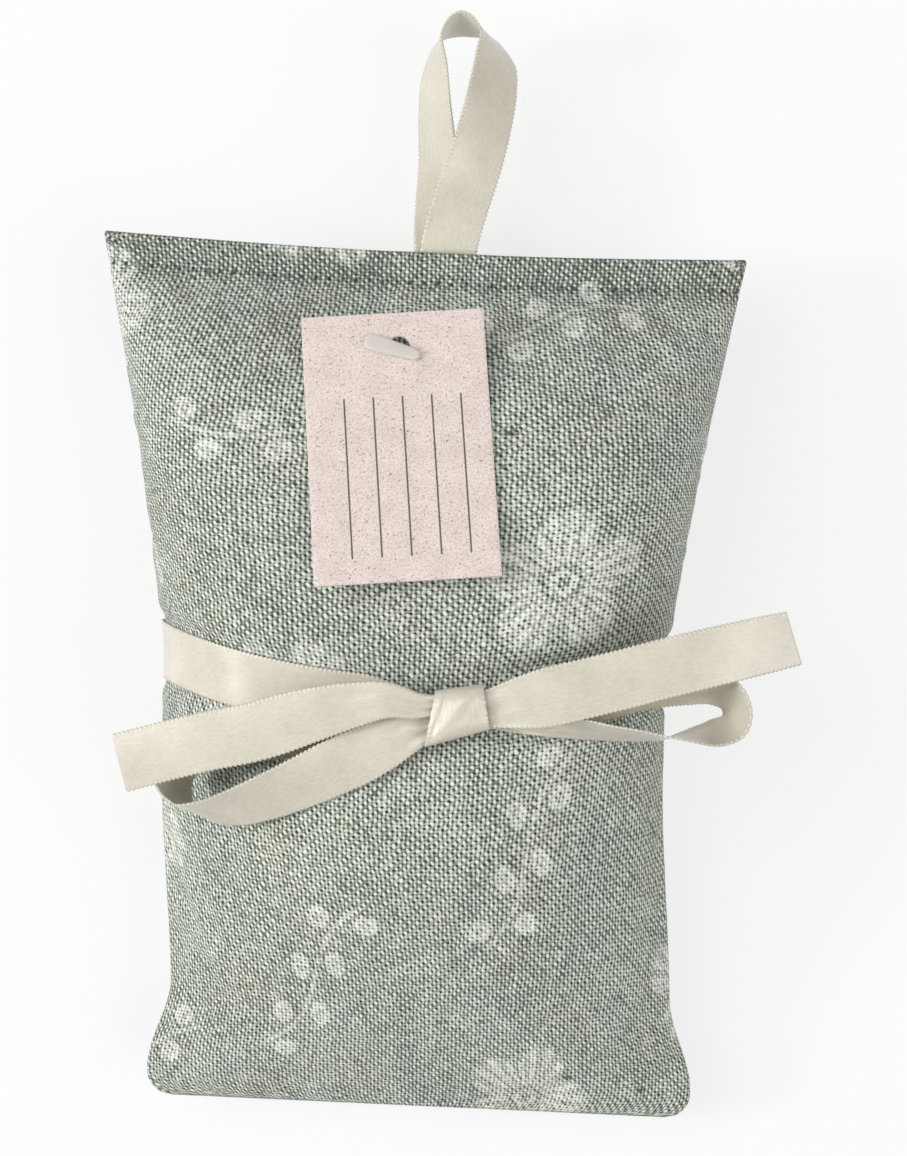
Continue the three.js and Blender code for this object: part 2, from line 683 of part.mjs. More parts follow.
addPiece("swing_tag", swingTag(), cardFinish, tagFrame);
addPiece("tag_pin_head", pinHead(), nylonFinish, tagFrame);
addPiece("tag_pin_bar", pinBar(), nylonFinish, tagFrame);

export default part;
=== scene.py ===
"""Looks of a lavender sachet: linen cover, buds, satin ribbons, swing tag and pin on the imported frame."""

import math

import bmesh
import bpy
import numpy as np
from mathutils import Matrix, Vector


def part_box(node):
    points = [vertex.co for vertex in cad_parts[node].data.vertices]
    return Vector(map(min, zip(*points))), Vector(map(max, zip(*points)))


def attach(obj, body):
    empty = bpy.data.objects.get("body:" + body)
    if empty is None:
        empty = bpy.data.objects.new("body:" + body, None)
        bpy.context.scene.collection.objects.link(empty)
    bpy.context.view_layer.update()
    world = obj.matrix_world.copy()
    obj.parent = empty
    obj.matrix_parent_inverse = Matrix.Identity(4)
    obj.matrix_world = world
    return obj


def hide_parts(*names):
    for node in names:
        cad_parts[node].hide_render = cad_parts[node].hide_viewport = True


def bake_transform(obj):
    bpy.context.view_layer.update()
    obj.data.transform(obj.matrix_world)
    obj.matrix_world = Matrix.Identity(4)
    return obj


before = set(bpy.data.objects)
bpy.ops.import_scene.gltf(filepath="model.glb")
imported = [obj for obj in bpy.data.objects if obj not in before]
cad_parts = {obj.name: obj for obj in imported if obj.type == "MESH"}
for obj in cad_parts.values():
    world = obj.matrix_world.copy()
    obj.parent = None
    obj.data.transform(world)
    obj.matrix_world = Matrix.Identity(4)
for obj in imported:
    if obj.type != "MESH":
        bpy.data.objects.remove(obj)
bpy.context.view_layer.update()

# A millimetre in metres, the two faces' signs, the waves in a ripple and the reach of a weld
MM = 0.001
FRONT = 1
BACK = -1
RIPPLE_WAVES = 12
WELD = 0.002

# Bag outline and depth, in millimetres as in the solids
HEM_WIDTH = 115
WAIST_WIDTH = 90.4
HEM_Y = 73.6
FOOT_Y = -81.4
TAPER_POWER = 1.2
HEM_SAG = 1.4
HEM_SAG_RUN = 34
EAR = 4.2
EAR_START = 22
EAR_FULL = 5
CORNER_RADIUS = 4.5
FOOT_LEAN = 2.6
LEAN_START = 18
LEAN_FULL = 66
EDGE_TILT = 0.02
SEAM_WAIST = 17
SEAM_HEM = 20
SEAM_FOOT = 12
CROWN = {FRONT: 27, BACK: 21}
SHOULDER_RUN = {FRONT: 45, BACK: 40}
FOOT_RUN = {FRONT: 60, BACK: 36}
SHOULDER_ROUND = 2.1
FOOT_ROUND = 1.8
FOOT_BLUNT = 0.9
FULL_FROM = -40
FULL_TO = 45
BACK_FULL = 0.6
HEM_SQUARE_RUN = 8
STITCH_INSET = 5.4
STITCH_Y = HEM_Y - STITCH_INSET
HEM_TURN = 10
HEM_PLIES = 1.2
HEM_TUCK = 1.5
HEM_PRESSED = 0.9
HEM_PINCH = 4
SEAM_GAP = 0.3
FIT_GAP = 0.3

# Cloth: thickness, yarns, print, the heights of its creases and the panels' grid
CLOTH = 0.55
WARP_PITCH = 0.795
WEFT_PITCH = 0.675
YARN_SWAY = 1.3
PRINT_WIDE = 41.0
PRINT_TALL = 47.0
PRINT_START = 19.0
BERRY_STEP = 5.2
SIDE_PUCKER = 0.2
FOOT_PUCKER = 0.3
LUMP = 0.16
STITCH_DENT = 0.12
COLUMNS = 161
ROWS = 221

# Cloth simulation: its grid, scale, length, slack, largest shift and the bands that are held
SIM_COLUMNS = 47
SIM_ROWS = 65
SIM_SCALE = 10
SIM_FRAMES = 20
SIM_SLACK = 0.006
SIM_LIMIT = 1.0
HELD_BELOW_STITCHES = 1.5
HELD_BESIDE_BAND = 1
HELD_NEAR_REST = 0.4

# Closing stitches; the back panel is cut a whole number of them further across the cloth
HOLE_PITCH = 2.45
STITCH_COUNT = 42
STITCH_ARCH = 0.5
STITCH_SUNK = 0.36
THREAD_RADIUS = 0.19
TWIST_PITCH = 0.55
BACK_CLOTH = 140 * HOLE_PITCH

# Buds: how far they keep from the skin, the ends and the seams, and their lumps' length, depth and height
BUDS_INSET = 1.9
BUDS_END_GAP = 7
BUDS_SIDE = 0.985
BUD_LENGTH = 4.0
BUD_DEPTH = 0.35
BUD_HEIGHT = 0.3

# Ribbon, its channel round the waist, its teeth, and the hanging loop with the pocket of its sewn ends
RIBBON_WIDTH = 10
RIBBON = 0.35
GROOVE = RIBBON + FIT_GAP
GROOVE_HALF = RIBBON_WIDTH / 2 + 2 * FIT_GAP
GROOVE_EDGE = 2.4
BAND_DIP = 7.2
BAND_DIP_FROM = 10
BAND_DIP_TO = 60
TOOTH = 0.28
TOOTH_PITCH = 0.8
SLANT_RUN = 8
BAND_STATIONS = 900
LOOP_X = 3.6
LOOP_SHIFT = 0.6
LOOP_SEWN = 8.5
LOOP_LAYER = (RIBBON + FIT_GAP) / 2
POCKET_LIFT = RIBBON + 1.5 * FIT_GAP - SEAM_GAP / 2
POCKET_HALF = RIBBON_WIDTH / 2 + LOOP_SHIFT + FIT_GAP
POCKET_EDGE = 5

# Bow; the knot's corners are the left and right ends of its upper and lower edges, seen from above,
# and the band is drawn in, shifted and pleated near it
KNOT_TOP = (4.1, -4.6, 11.9, -3.3)
KNOT_FOOT = (2.5, -13.5, 13.2, -10.3)
KNOT_X = 7.9
ROOT_GAP = 0.6
ROOT_HELD = 2.5
KNOT_TOOTH = 0.012
KNOT_TEETH = 30
KNOT_RADIUS = 3.4
KNOT_RIDGE = 0.45
KNOT_CREASE = 0.22
BAND_DRAWN = (3.5, 17)
BAND_TAKEN = 0.5
BAND_SHIFT = 0.5
BAND_PLEAT = 0.3
BAND_THINNER = 0.05

# Swing tag, its ruled lines and its pin
CARD_WIDTH = 31.5
CARD_LENGTH = 48.5
CARD = 0.5
CARD_HOLE = 3.6
CARD_HOLE_INSET = 6.2
CARD_HOLE_SHIFT = 0.9
CARD_MAP = 30
RULE_STEP = 5.0
RULE_LEFT = CARD_MAP - 11.0
RULE_RIGHT = CARD_MAP + 11.0
RULE_LOW = CARD_MAP - 38.0
RULE_HIGH = CARD_MAP - 9.0
CARD_SLOPE = 17
CARD_TURN = 5
CARD_BOW = 0.3
CARD_EDGE = 0.1
CARD_RAYS = 144
CARD_RAY_GAP = 0.012
CARD_RINGS = 24
UNDER_CARD = 0.55
HOLE_PLACE = np.array([-3.8, 54.26, 37.80])
PADDLE_LENGTH = 10
PADDLE_WIDTH = 2.7
PADDLE_FLARE = 0.25
PADDLE = 0.8
PADDLE_TURN = -16
PADDLE_SHIFT = -1
PADDLE_DROP = 0.9
STEM_RADIUS = 0.38
STEM_FOOT = -2.5
STEM_TOP = 0.9

# Where the cloth starts to be pressed under the tag's sweep and where fully, inwards from each side
SWEEP_LEFT = (-50, -44)
SWEEP_RIGHT = (-46, -40)
SWEEP_FOOT = (8, 12.5)
SWEEP_HEM = (-66, -61)

# Lamps in metres and watts: name, place, size, power
LAMP_AIM = (0, 0, 0.02)
LAMPS = (
    ("key", (-0.6, 0.25, 0.95), 0.7, 5.1),
    ("low_key", (-1.0, -0.03, 0.6), 0.27, 5.8),
    ("fill", (0.75, -0.3, 0.85), 0.9, 5.4),
)
SURROUND = 0.42
FLOOR_HALF = 12.0
FLOOR_GLOW = 0.72

# Camera, from the photograph's perspective
PHOTO_HEIGHT_PX = 1156
FOCAL_PX = 2570
CAMERA_PLACE = (6.55, 14.77, 480)
CAMERA_TURN = 1.5
SENSOR = 36


def smooth(x, low, high):
    """0 below low, 1 above high, and the cubic 3tt - 2ttt between them."""
    t = np.clip((x - low) / (high - low), 0, 1)
    return t * t * (3 - 2 * t)


def mix(a, b, t):
    """The straight blend from a at t = 0 to b at t = 1."""
    return a + (b - a) * t


def unit_vectors(v):
    """Each vector divided by its own length."""
    return v / np.linalg.norm(v, axis=-1, keepdims=True)


def blunt(wave, power):
    """A sine or cosine raised to a power below 1 with its sign kept, which squares off an oval."""
    return np.sign(wave) * np.abs(wave) ** power


def lengths_along(points):
    """Distance travelled along a line of points, starting at 0."""
    steps = np.linalg.norm(np.diff(points, axis=0), axis=1)
    return np.concatenate([[0], np.cumsum(steps)])


def ripple(across, along, wavelength, seed):
    """A smooth random field of about that wavelength: sine waves in seeded directions, added up.

    The sum is divided by the square root of the number of waves.
    """
    rng = np.random.default_rng(seed)
    total = np.zeros(np.broadcast(across, along).shape)
    for angle, phase, stretch in rng.uniform(size=(RIPPLE_WAVES, 3)):
        turn = 2 * math.pi * angle
        wave = wavelength * (0.7 + 0.6 * stretch)
        travel = across * math.cos(turn) + along * math.sin(turn)
        total += np.sin(2 * math.pi * travel / wave + 2 * math.pi * phase)
    return total / math.sqrt(RIPPLE_WAVES)


# Bag surface


def half_width(row):
    """Half the bag's width: a taper to the waist, ears at the foot and a round corner below them."""
    up = row - FOOT_Y
    taper = np.clip(row / HEM_Y, 0, 1) ** TAPER_POWER
    ear = EAR * smooth(EAR_START - up, 0, EAR_START - EAR_FULL)
    into = np.clip(CORNER_RADIUS - up, 0, CORNER_RADIUS)
    corner = CORNER_RADIUS - np.sqrt(CORNER_RADIUS**2 - into**2)
    return WAIST_WIDTH / 2 + (HEM_WIDTH - WAIST_WIDTH) / 2 * taper + ear - corner


def seam_height(row):
    """Height of the side seam: it rises by a square from the waist to the hem, and falls so to the foot."""
    rise = np.clip(row / (STITCH_Y - HEM_TURN), 0, 1) ** 2
    fall = np.clip(row / FOOT_Y, 0, 1) ** 2
    return SEAM_WAIST + (SEAM_HEM - SEAM_WAIST) * rise + (SEAM_FOOT - SEAM_WAIST) * fall


def swell(face, row):
    """How far the centre line stands off the seam plane: the lower of a shoulder and a foot curve."""
    down = np.clip((STITCH_Y - row) / SHOULDER_RUN[face], 0, 1)
    up = np.clip((row - FOOT_Y) / FOOT_RUN[face], 0, 1)
    shoulder = HEM_PLIES + (CROWN[face] - HEM_PLIES) * (1 - (1 - down) ** SHOULDER_ROUND)
    foot = CROWN[face] * (1 - (1 - up) ** FOOT_ROUND) ** FOOT_BLUNT
    return np.minimum(shoulder, foot)


def section(face, across, row):
    """Cross-section: 1 less a power of the place across, a lens at the foot and boxier towards the hem."""
    full = smooth(row, FULL_FROM, FULL_TO) if face == FRONT else BACK_FULL
    power = 2 + 4 * full + 6 * smooth(row, STITCH_Y - HEM_SQUARE_RUN, STITCH_Y)
    return np.clip(1 - np.abs(across) ** power, 0, 1) ** (2 / 3 - full / 6)


def bag_point(face, u, row, inset=0.0):
    """A point of the bag's skin: u runs from seam to seam, row from foot to hem, inset goes under the skin.

    x is the half width times the sine of u, z is the seam's height plus the swell times the section,
    sunk in the ribbon's channel and raised over the loop's ends, and y is the row less its sag and dip.
    """
    across = np.sin(u * math.pi / 2)
    sink = inset + GROOVE * (1 - smooth(np.abs(row), GROOVE_HALF, GROOVE_HALF + GROOVE_EDGE))
    x = (half_width(row) - sink) * across + FOOT_LEAN * smooth(-row, LEAN_START, LEAN_FULL)
    beside = 1 - smooth(np.abs(x - LOOP_X), POCKET_HALF, POCKET_HALF + POCKET_EDGE)
    pocket = POCKET_LIFT * beside * smooth(row, STITCH_Y - HEM_TURN, STITCH_Y - STITCH_INSET)
    off = SEAM_GAP / 2 + np.maximum(0, swell(face, row) - sink) * section(face, across, row)
    z = seam_height(row) + face * (off + pocket)
    if face == BACK:
        z = np.maximum(sink, z)
    dip = BAND_DIP * (1 - smooth(np.abs(row), BAND_DIP_FROM, BAND_DIP_TO)) if face == FRONT else 0
    sag = HEM_SAG * smooth(row, HEM_Y - HEM_SAG_RUN, HEM_Y)
    foot_inset = inset * (1 - smooth(row, FOOT_Y, FOOT_Y + EAR_START))
    y = row + foot_inset - (dip + sag) * (1 - across**2) - EDGE_TILT * x
    return np.stack(np.broadcast_arrays(x, y, z), axis=-1)


def even_rows(count):
    """Rows at even lengths along the front's centre line, from the foot to the hem."""
    fine = np.linspace(FOOT_Y, HEM_Y, 1500)
    lengths = lengths_along(bag_point(FRONT, 0.0, fine))
    return np.interp(np.linspace(0, lengths[-1], count), lengths, fine)


def panel_grid(face, columns, rows):
    """Points of a panel, rows by columns, each row cut at even lengths from seam to seam."""
    fine = np.linspace(-1, 1, 700)
    share = np.linspace(0, 1, columns)
    grid = np.empty((len(rows), columns, 3))
    for i, row in enumerate(rows):
        line = bag_point(face, fine, row)
        lengths = lengths_along(line)
        u = np.interp(share * lengths[-1], lengths, fine)
        grid[i] = bag_point(face, u, row)
    return grid


def grid_normals(grid):
    """Unit normals of a grid of points: rows cross columns."""
    return unit_vectors(np.cross(np.gradient(grid, axis=1), np.gradient(grid, axis=0)))


# Meshes


def grid_faces(rows, columns, closed=False):
    """Quads between neighbouring rows and columns of a grid, the last row joined to the first if closed."""
    r = np.arange(rows if closed else rows - 1)[:, None]
    c = np.arange(columns - 1)[None, :]
    below = r * columns + c
    above = (r + 1) % rows * columns + c
    return np.stack([below, below + 1, above + 1, above], axis=-1).reshape(-1, 4)


def placed(name, data):
    """A new object in the scene that holds that mesh, lamp or camera."""
    holder = bpy.data.objects.new(name, data)
    bpy.context.scene.collection.objects.link(holder)
    return holder


def mesh_piece(name, points, faces, uv=None):
    """A mesh object from points in millimetres, faces, and a place on the cloth for each point."""
    mesh = bpy.data.meshes.new(name)
    mesh.from_pydata((points.reshape(-1, 3) * MM).tolist(), [], faces.tolist())
    mesh.polygons.foreach_set("use_smooth", np.ones(len(mesh.polygons), bool))
    if uv is not None:
        corners = np.empty(len(mesh.loops), int)
        mesh.loops.foreach_get("vertex_index", corners)
        layer = mesh.uv_layers.new(name="cloth")
        layer.data.foreach_set("uv", uv.reshape(-1, 2)[corners].astype(np.float32).ravel())
    mesh.update()
    return placed(name, mesh)


def thicken(piece, thickness, offset):
    """Gives a sheet its thickness, in millimetres: offset 0 on both sides, -1 below its faces."""
    solid = piece.modifiers.new("thickness", "SOLIDIFY")
    solid.thickness = thickness * MM
    solid.offset = offset


def lidded(rings, middles):
    """A tube of rings with a lid on each end, drawn in to its middle."""
    lids = [np.broadcast_to(middle, rings[:1].shape) for middle in middles]
    return np.concatenate([lids[0], rings, lids[1]])


def clean_mesh(piece, caps=()):
    """Adds a face for each cap, welds points that lie on each other and turns all faces outwards."""
    work = bmesh.new()
    work.from_mesh(piece.data)
    work.verts.ensure_lookup_table()
    for cap in caps:
        work.faces.new([work.verts[i] for i in cap])
    bmesh.ops.remove_doubles(work, verts=work.verts, dist=WELD * MM)
    bmesh.ops.recalc_face_normals(work, faces=work.faces)
    work.to_mesh(piece.data)
    work.free()


def dress(piece, finish, nodes, body=None):
    """Gives a piece its finish, hides the nodes that it stands for and, when one is given, attaches it to
    its body.
    """
    piece.data.materials.append(finish)
    if body:
        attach(piece, body)
    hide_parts(*nodes)


# Materials


class Field:
    """A number that varies over a surface. Arithmetic on fields adds math nodes to their material."""

    def __init__(self, tree, socket):
        self.tree = tree
        self.socket = socket

    def math(self, operation, *others):
        node = self.tree.nodes.new("ShaderNodeMath")
        node.operation = operation
        for place, value in zip(node.inputs, (self, *others)):
            connect(self.tree, value, place)
        return Field(self.tree, node.outputs[0])

    def __add__(self, other):
        return self.math("ADD", other)

    def __sub__(self, other):
        return self.math("SUBTRACT", other)

    def __mul__(self, other):
        return self.math("MULTIPLY", other)

    def __truediv__(self, other):
        return self.math("DIVIDE", other)

    def __neg__(self):
        return self.math("MULTIPLY", -1.0)

    def __abs__(self):
        return self.math("ABSOLUTE")

    def rounded(self):
        return self.math("ROUND")

    def floored(self):
        return self.math("FLOOR")

    def remainder(self, period):
        return self.math("FLOORED_MODULO", period)

    def sine(self):
        return self.math("SINE")

    def cosine(self):
        return self.math("COSINE")

    def root(self):
        return self.math("SQRT")

    def power(self, exponent):
        return self.math("POWER", exponent)

    def highest(self, other):
        return self.math("MAXIMUM", other)

    def ease(self, low, high, start=0.0, end=1.0):
        """From start at low to end at high, easing in and out; low may be above high."""
        node = self.tree.nodes.new("ShaderNodeMapRange")
        node.interpolation_type = "SMOOTHSTEP"
        for place, value in zip(node.inputs, (self, low, high, start, end)):
            connect(self.tree, value, place)
        return Field(self.tree, node.outputs[0])


def connect(tree, value, place):
    """Puts a field or a plain number into a node's input."""
    if isinstance(value, Field):
        tree.links.new(value.socket, place)
    else:
        place.default_value = value


def new_finish(name, roughness, specular=0.5, sheen=0.0, sheen_roughness=0.5):
    """A new material with that gloss and sheen, its node tree and its shader."""
    material = bpy.data.materials.new(name)
    material.use_nodes = True
    tree = material.node_tree
    shader = tree.nodes["Principled BSDF"]
    shader.inputs["Roughness"].default_value = roughness
    shader.inputs["Specular IOR Level"].default_value = specular
    shader.inputs["Sheen Weight"].default_value = sheen
    shader.inputs["Sheen Roughness"].default_value = sheen_roughness
    return material, tree, shader


def vector_of(tree, x, y, z=0.0):
    """A place with those coordinates, each a field or a number."""
    node = tree.nodes.new("ShaderNodeCombineXYZ")
    for place, value in zip(node.inputs, (x, y, z)):
        connect(tree, value, place)
    return node.outputs[0]


def noise(tree, vector, scale, detail=2.0):
    """Smooth noise from 0 to 1, mostly near a half."""
    node = tree.nodes.new("ShaderNodeTexNoise")
    node.inputs["Scale"].default_value = scale
    node.inputs["Detail"].default_value = detail
    tree.links.new(vector, node.inputs["Vector"])
    return Field(tree, node.outputs[0])


def cloth_place(tree):
    """The piece's own map: millimetres across and along the cloth."""
    node = tree.nodes.new("ShaderNodeUVMap")
    node.uv_map = "cloth"
    split = tree.nodes.new("ShaderNodeSeparateXYZ")
    tree.links.new(node.outputs[0], split.inputs[0])
    return node.outputs[0], Field(tree, split.outputs[0]), Field(tree, split.outputs[1])


def piece_place(tree):
    """The place in the piece's own frame, in metres."""
    return tree.nodes.new("ShaderNodeTexCoord").outputs["Object"]


def linear(red, green, blue):
    """A display colour, 0 to 255, as the linear colour that shaders take."""
    values = [c / 255 for c in (red, green, blue)]
    return [c / 12.92 if c <= 0.04045 else ((c + 0.055) / 1.055) ** 2.4 for c in values] + [1.0]


def blended(tree, share, first, second, mode="MIX"):
    """Colour that goes from first to second with the share."""
    node = tree.nodes.new("ShaderNodeMix")
    node.data_type = "RGBA"
    node.blend_type = mode
    sockets = {s.identifier: s for s in node.inputs}
    connect(tree, share, sockets["Factor_Float"])
    for identifier, colour in (("A_Color", first), ("B_Color", second)):
        if isinstance(colour, list):
            sockets[identifier].default_value = colour
        else:
            tree.links.new(colour, sockets[identifier])
    return next(s for s in node.outputs if s.identifier == "Result_Color")


def surface(tree, shader, colour, height, depth):
    """Gives the shader its colour and raises the surface by the height field, depth in millimetres."""
    tree.links.new(colour, shader.inputs["Base Color"])
    node = tree.nodes.new("ShaderNodeBump")
    node.inputs["Strength"].default_value = 1.0
    node.inputs["Distance"].default_value = depth * MM
    connect(tree, height, node.inputs["Height"])
    tree.links.new(node.outputs[0], shader.inputs["Normal"])


def blossom_print(x, y, turn):
    """Five-petalled open blossom: lobes by the cosine of the angle, with fine rays and a ringed heart."""
    radius = (x * x + y * y).root()
    angle = y.math("ARCTAN2", x) + turn
    lobe = abs((angle * 2.5).cosine())
    edge = lobe.power(0.55) * 7.0 + 6.0
    petal = (edge - radius).ease(-0.7, 1.1)
    rays = (angle * 22.5).sine().ease(-0.6, 0.7, 0.35, 1.0)
    heart = radius.ease(3.0, 3.8)
    ring = abs(radius - 1.7).ease(0.9, 0.3)
    return (petal * rays * heart).highest(ring)


def berry_print(x, y, turn):
    """Curved twig with a round berry to each side in turn: circles, paler inside, beside a sine curve."""
    along = x * turn.cosine() + y * turn.sine()
    beside = y * turn.cosine() - x * turn.sine()
    off = beside - (along / 6.5).sine() * 2.4
    count = (along / BERRY_STEP).rounded()
    side = count.remainder(2.0) * 2.0 - 1.0
    reach = abs(along).ease(19.0, 18.0)
    radius = ((along - count * BERRY_STEP).power(2.0) + (off - side * 3.2).power(2.0)).root()
    berry = radius.ease(2.5, 1.6) * radius.ease(0.4, 1.6, 0.6, 1.0)
    twig = abs(off).ease(0.7, 0.2)
    return berry.highest(twig * 0.7) * reach


def plant_print(across, along):
    """Pale scattered print: a half-drop repeat whose cells hold a blossom or a berry twig in turn."""
    column = (across / PRINT_WIDE).floored()
    shifted = along + column * (PRINT_TALL / 2) + PRINT_START
    row = (shifted / PRINT_TALL).floored()
    x = across - (column + 0.5) * PRINT_WIDE
    y = shifted - (row + 0.5) * PRINT_TALL
    turn = column * 2.3 + row * 1.1
    kind = (column + row).remainder(2.0)
    blossom = blossom_print(x - 2.0, y + 1.0, turn)
    berries = berry_print(x, y, turn)
    return blossom + (berries - blossom) * kind


def specks(tree, place, cell, share, size):
    """Round spots of random size up to size, in that share of the cells of a scattered pattern."""
    node = tree.nodes.new("ShaderNodeTexVoronoi")
    node.inputs["Scale"].default_value = 1 / cell
    tree.links.new(place, node.inputs["Vector"])
    split = tree.nodes.new("ShaderNodeSeparateColor")
    tree.links.new(node.outputs["Color"], split.inputs[0])
    radius = Field(tree, split.outputs[0]).ease(1 - share, 1.0, 0.0, size / cell)
    return (radius - Field(tree, node.outputs["Distance"])).ease(0.0, 0.08)


def weave(tree, place, across, along):
    """Plain weave: counts of warp and weft, swaying a little, and the upper yarn's height and tone.

    A yarn is half an ellipse across its width, higher where it passes over the other one.
    """
    sway = noise(tree, place, 0.35, 4.0) - 0.5
    swing = noise(tree, vector_of(tree, along, across), 0.35, 4.0) - 0.5
    warp = across / WARP_PITCH + sway * YARN_SWAY
    weft = along / WEFT_PITCH + swing * YARN_SWAY
    warp_count = warp.rounded()
    weft_count = weft.rounded()
    from_warp = warp - warp_count
    from_weft = weft - weft_count
    over = (warp_count + weft_count).remainder(2.0) * -2.0 + 1.0
    warp_tone = noise(tree, vector_of(tree, warp_count * 3.7, along * 0.3), 1.0)
    weft_tone = noise(tree, vector_of(tree, weft_count * 3.7, across * 0.3, 40.0), 1.0)

    def yarn(distance, tone, lift, travel):
        width = tone * 0.6 + 0.7
        bulge = ((distance * 2.0 / width).power(2.0) * -1.0 + 1.0).highest(0.0).root()
        return bulge * ((travel * math.pi).cosine() * lift * 0.25 + 0.75)

    warp_rise = yarn(abs(from_warp), warp_tone, over, from_weft)
    weft_rise = yarn(abs(from_weft), weft_tone, -over, from_warp)
    height = warp_rise.highest(weft_rise)
    tone = weft_tone + (warp_tone - weft_tone) * (warp_rise - weft_rise).ease(-0.05, 0.05)
    crossing = noise(tree, vector_of(tree, warp_count * 1.9, weft_count * 2.3, 80.0), 1.0, 0.0)
    return warp, weft, height, (tone - 0.5) * 0.6 + (crossing - 0.5) * 0.5


def yarn_gaps(tree, warp, weft, slant):
    """Gaps between yarns, for painted shade and a dip: a round pit of random size in each corner, fainter
    on the pale slants.
    """
    corner_warp = warp.floored()
    corner_weft = weft.floored()
    across = warp - corner_warp - 0.5
    along = weft - corner_weft - 0.5
    corner = vector_of(tree, corner_warp * 1.7, corner_weft * 2.1, 20.0)
    size = noise(tree, corner, 1.0, 0.0).ease(0.2, 0.8, 0.12, 0.5)
    pit = (across.power(2.0) + along.power(2.0)).root().ease(size, size * 0.3)
    return pit * slant.ease(-1.0, 1.0, 1.0, 0.35)


def needle_holes(tree, across, along):
    """Holes of uneven depth along the closing row, for painted shade and a dent: a round spot at every
    stitch.
    """
    beside = across - (across / HOLE_PITCH).rounded() * HOLE_PITCH
    hole = (beside.power(2.0) + (along - stitch_line).power(2.0)).root().ease(0.5, 0.25)
    return hole * noise(tree, vector_of(tree, across, along), 0.6, 1.0).ease(0.35, 0.6, 0.35, 0.9)


def linen():
    """Sage linen: yarns paler on their crowns, on every other slant and along the warp, darker in the gaps;
    the paler crowns are painted light and the dark gaps painted shade.

    Slubs and long flecks darken it, painted shade darkens the needle holes, and a faint print lightens it.
    """
    material, tree, shader = new_finish("linen", 0.92, 0.2, sheen=0.1)
    place, across, along = cloth_place(tree)
    warp, weft, height, tone = weave(tree, place, across, along)
    slant = ((warp + weft) * math.pi).cosine()
    column = (warp * (2 * math.pi)).cosine()
    fibre = noise(tree, place, 1.7, 4.0)
    patch = noise(tree, place, 0.05)
    # Painted light and shade: paler towards the yarns' crowns, darker down their sides
    pale = height.ease(0.4, 1.0) * 0.5 + slant * 0.25 + column * 0.13
    pale = pale + tone + (fibre - 0.5) * 0.6 + (patch - 0.5) * 0.25
    pale = pale + along.ease(stitch_line - 3, stitch_line, 0.1, -0.06)
    colour = blended(tree, pale.ease(-0.02, 0.98), linear(90, 97, 89), linear(222, 228, 217))
    warm = noise(tree, place, 0.07).ease(0.4, 0.65)
    colour = blended(tree, warm * 0.3, colour, linear(255, 248, 232), "MULTIPLY")
    slub = noise(tree, vector_of(tree, across * 0.5, along * 1.5), 1.0).ease(0.6, 0.7)
    colour = blended(tree, slub * (-height + 1.4) * 0.6, colour, linear(76, 81, 71))
    sketch = noise(tree, place, 0.5, 3.0).ease(0.3, 0.6, 0.45, 1.0)
    ink = plant_print(across, along) * sketch * height.ease(0.15, 0.6) * 0.58
    colour = blended(tree, ink, colour, linear(246, 247, 238))
    # Painted shade in the gaps between yarns
    pit = yarn_gaps(tree, warp, weft, slant)
    colour = blended(tree, pit * 0.92, colour, linear(40, 45, 40))
    fleck = specks(tree, vector_of(tree, across * 0.5, along), 8.0, 0.8, 0.9)
    colour = blended(tree, fleck * 0.75, colour, linear(50, 53, 46))
    # Painted shade in the needle holes
    hole = needle_holes(tree, across, along)
    colour = blended(tree, hole, colour, linear(36, 40, 34))
    surface(tree, shader, colour, height * 0.7 - pit * 0.3 + fibre * 0.3 - hole * 0.8, 0.2)
    return material


def satin():
    """Cream satin: fine slanting floats, a faint cloudiness and beaded selvedges."""
    material, tree, shader = new_finish("satin", 0.27, 0.9, sheen=0.2, sheen_roughness=0.35)
    place, along, across = cloth_place(tree)
    floats = ((along * 0.8 + across) * (2 * math.pi / 0.6)).sine()
    broken = noise(tree, vector_of(tree, along * 0.8, across * 2.2), 1.0, 3.0)
    cloud = noise(tree, place, 0.12)
    selvedge = abs(across).ease(RIBBON_WIDTH / 2 - 0.8, RIBBON_WIDTH / 2 - 0.45)
    bead = (along * (2 * math.pi / TOOTH_PITCH)).cosine()
    light = floats * 0.06 + broken * 0.5 + cloud * 0.5 + selvedge * bead * 0.1
    colour = blended(tree, light.ease(0.1, 0.85), linear(188, 181, 165), linear(218, 212, 196))
    height = floats * (-selvedge + 1.0) * 0.14 + selvedge * bead * 0.8 + broken * 0.1
    surface(tree, shader, colour, height, 0.02)
    return material


def ruled_lines(across, along):
    """Five plain lines at even steps across the card, between two margins each way."""
    step = across - (across / RULE_STEP).rounded() * RULE_STEP
    reach = across.ease(RULE_LEFT, RULE_LEFT + 0.1) * across.ease(RULE_RIGHT, RULE_RIGHT - 0.1)
    run = along.ease(RULE_LOW, RULE_LOW + 0.2) * along.ease(RULE_HIGH, RULE_HIGH - 0.2)
    return abs(step).ease(0.2, 0.1) * reach * run


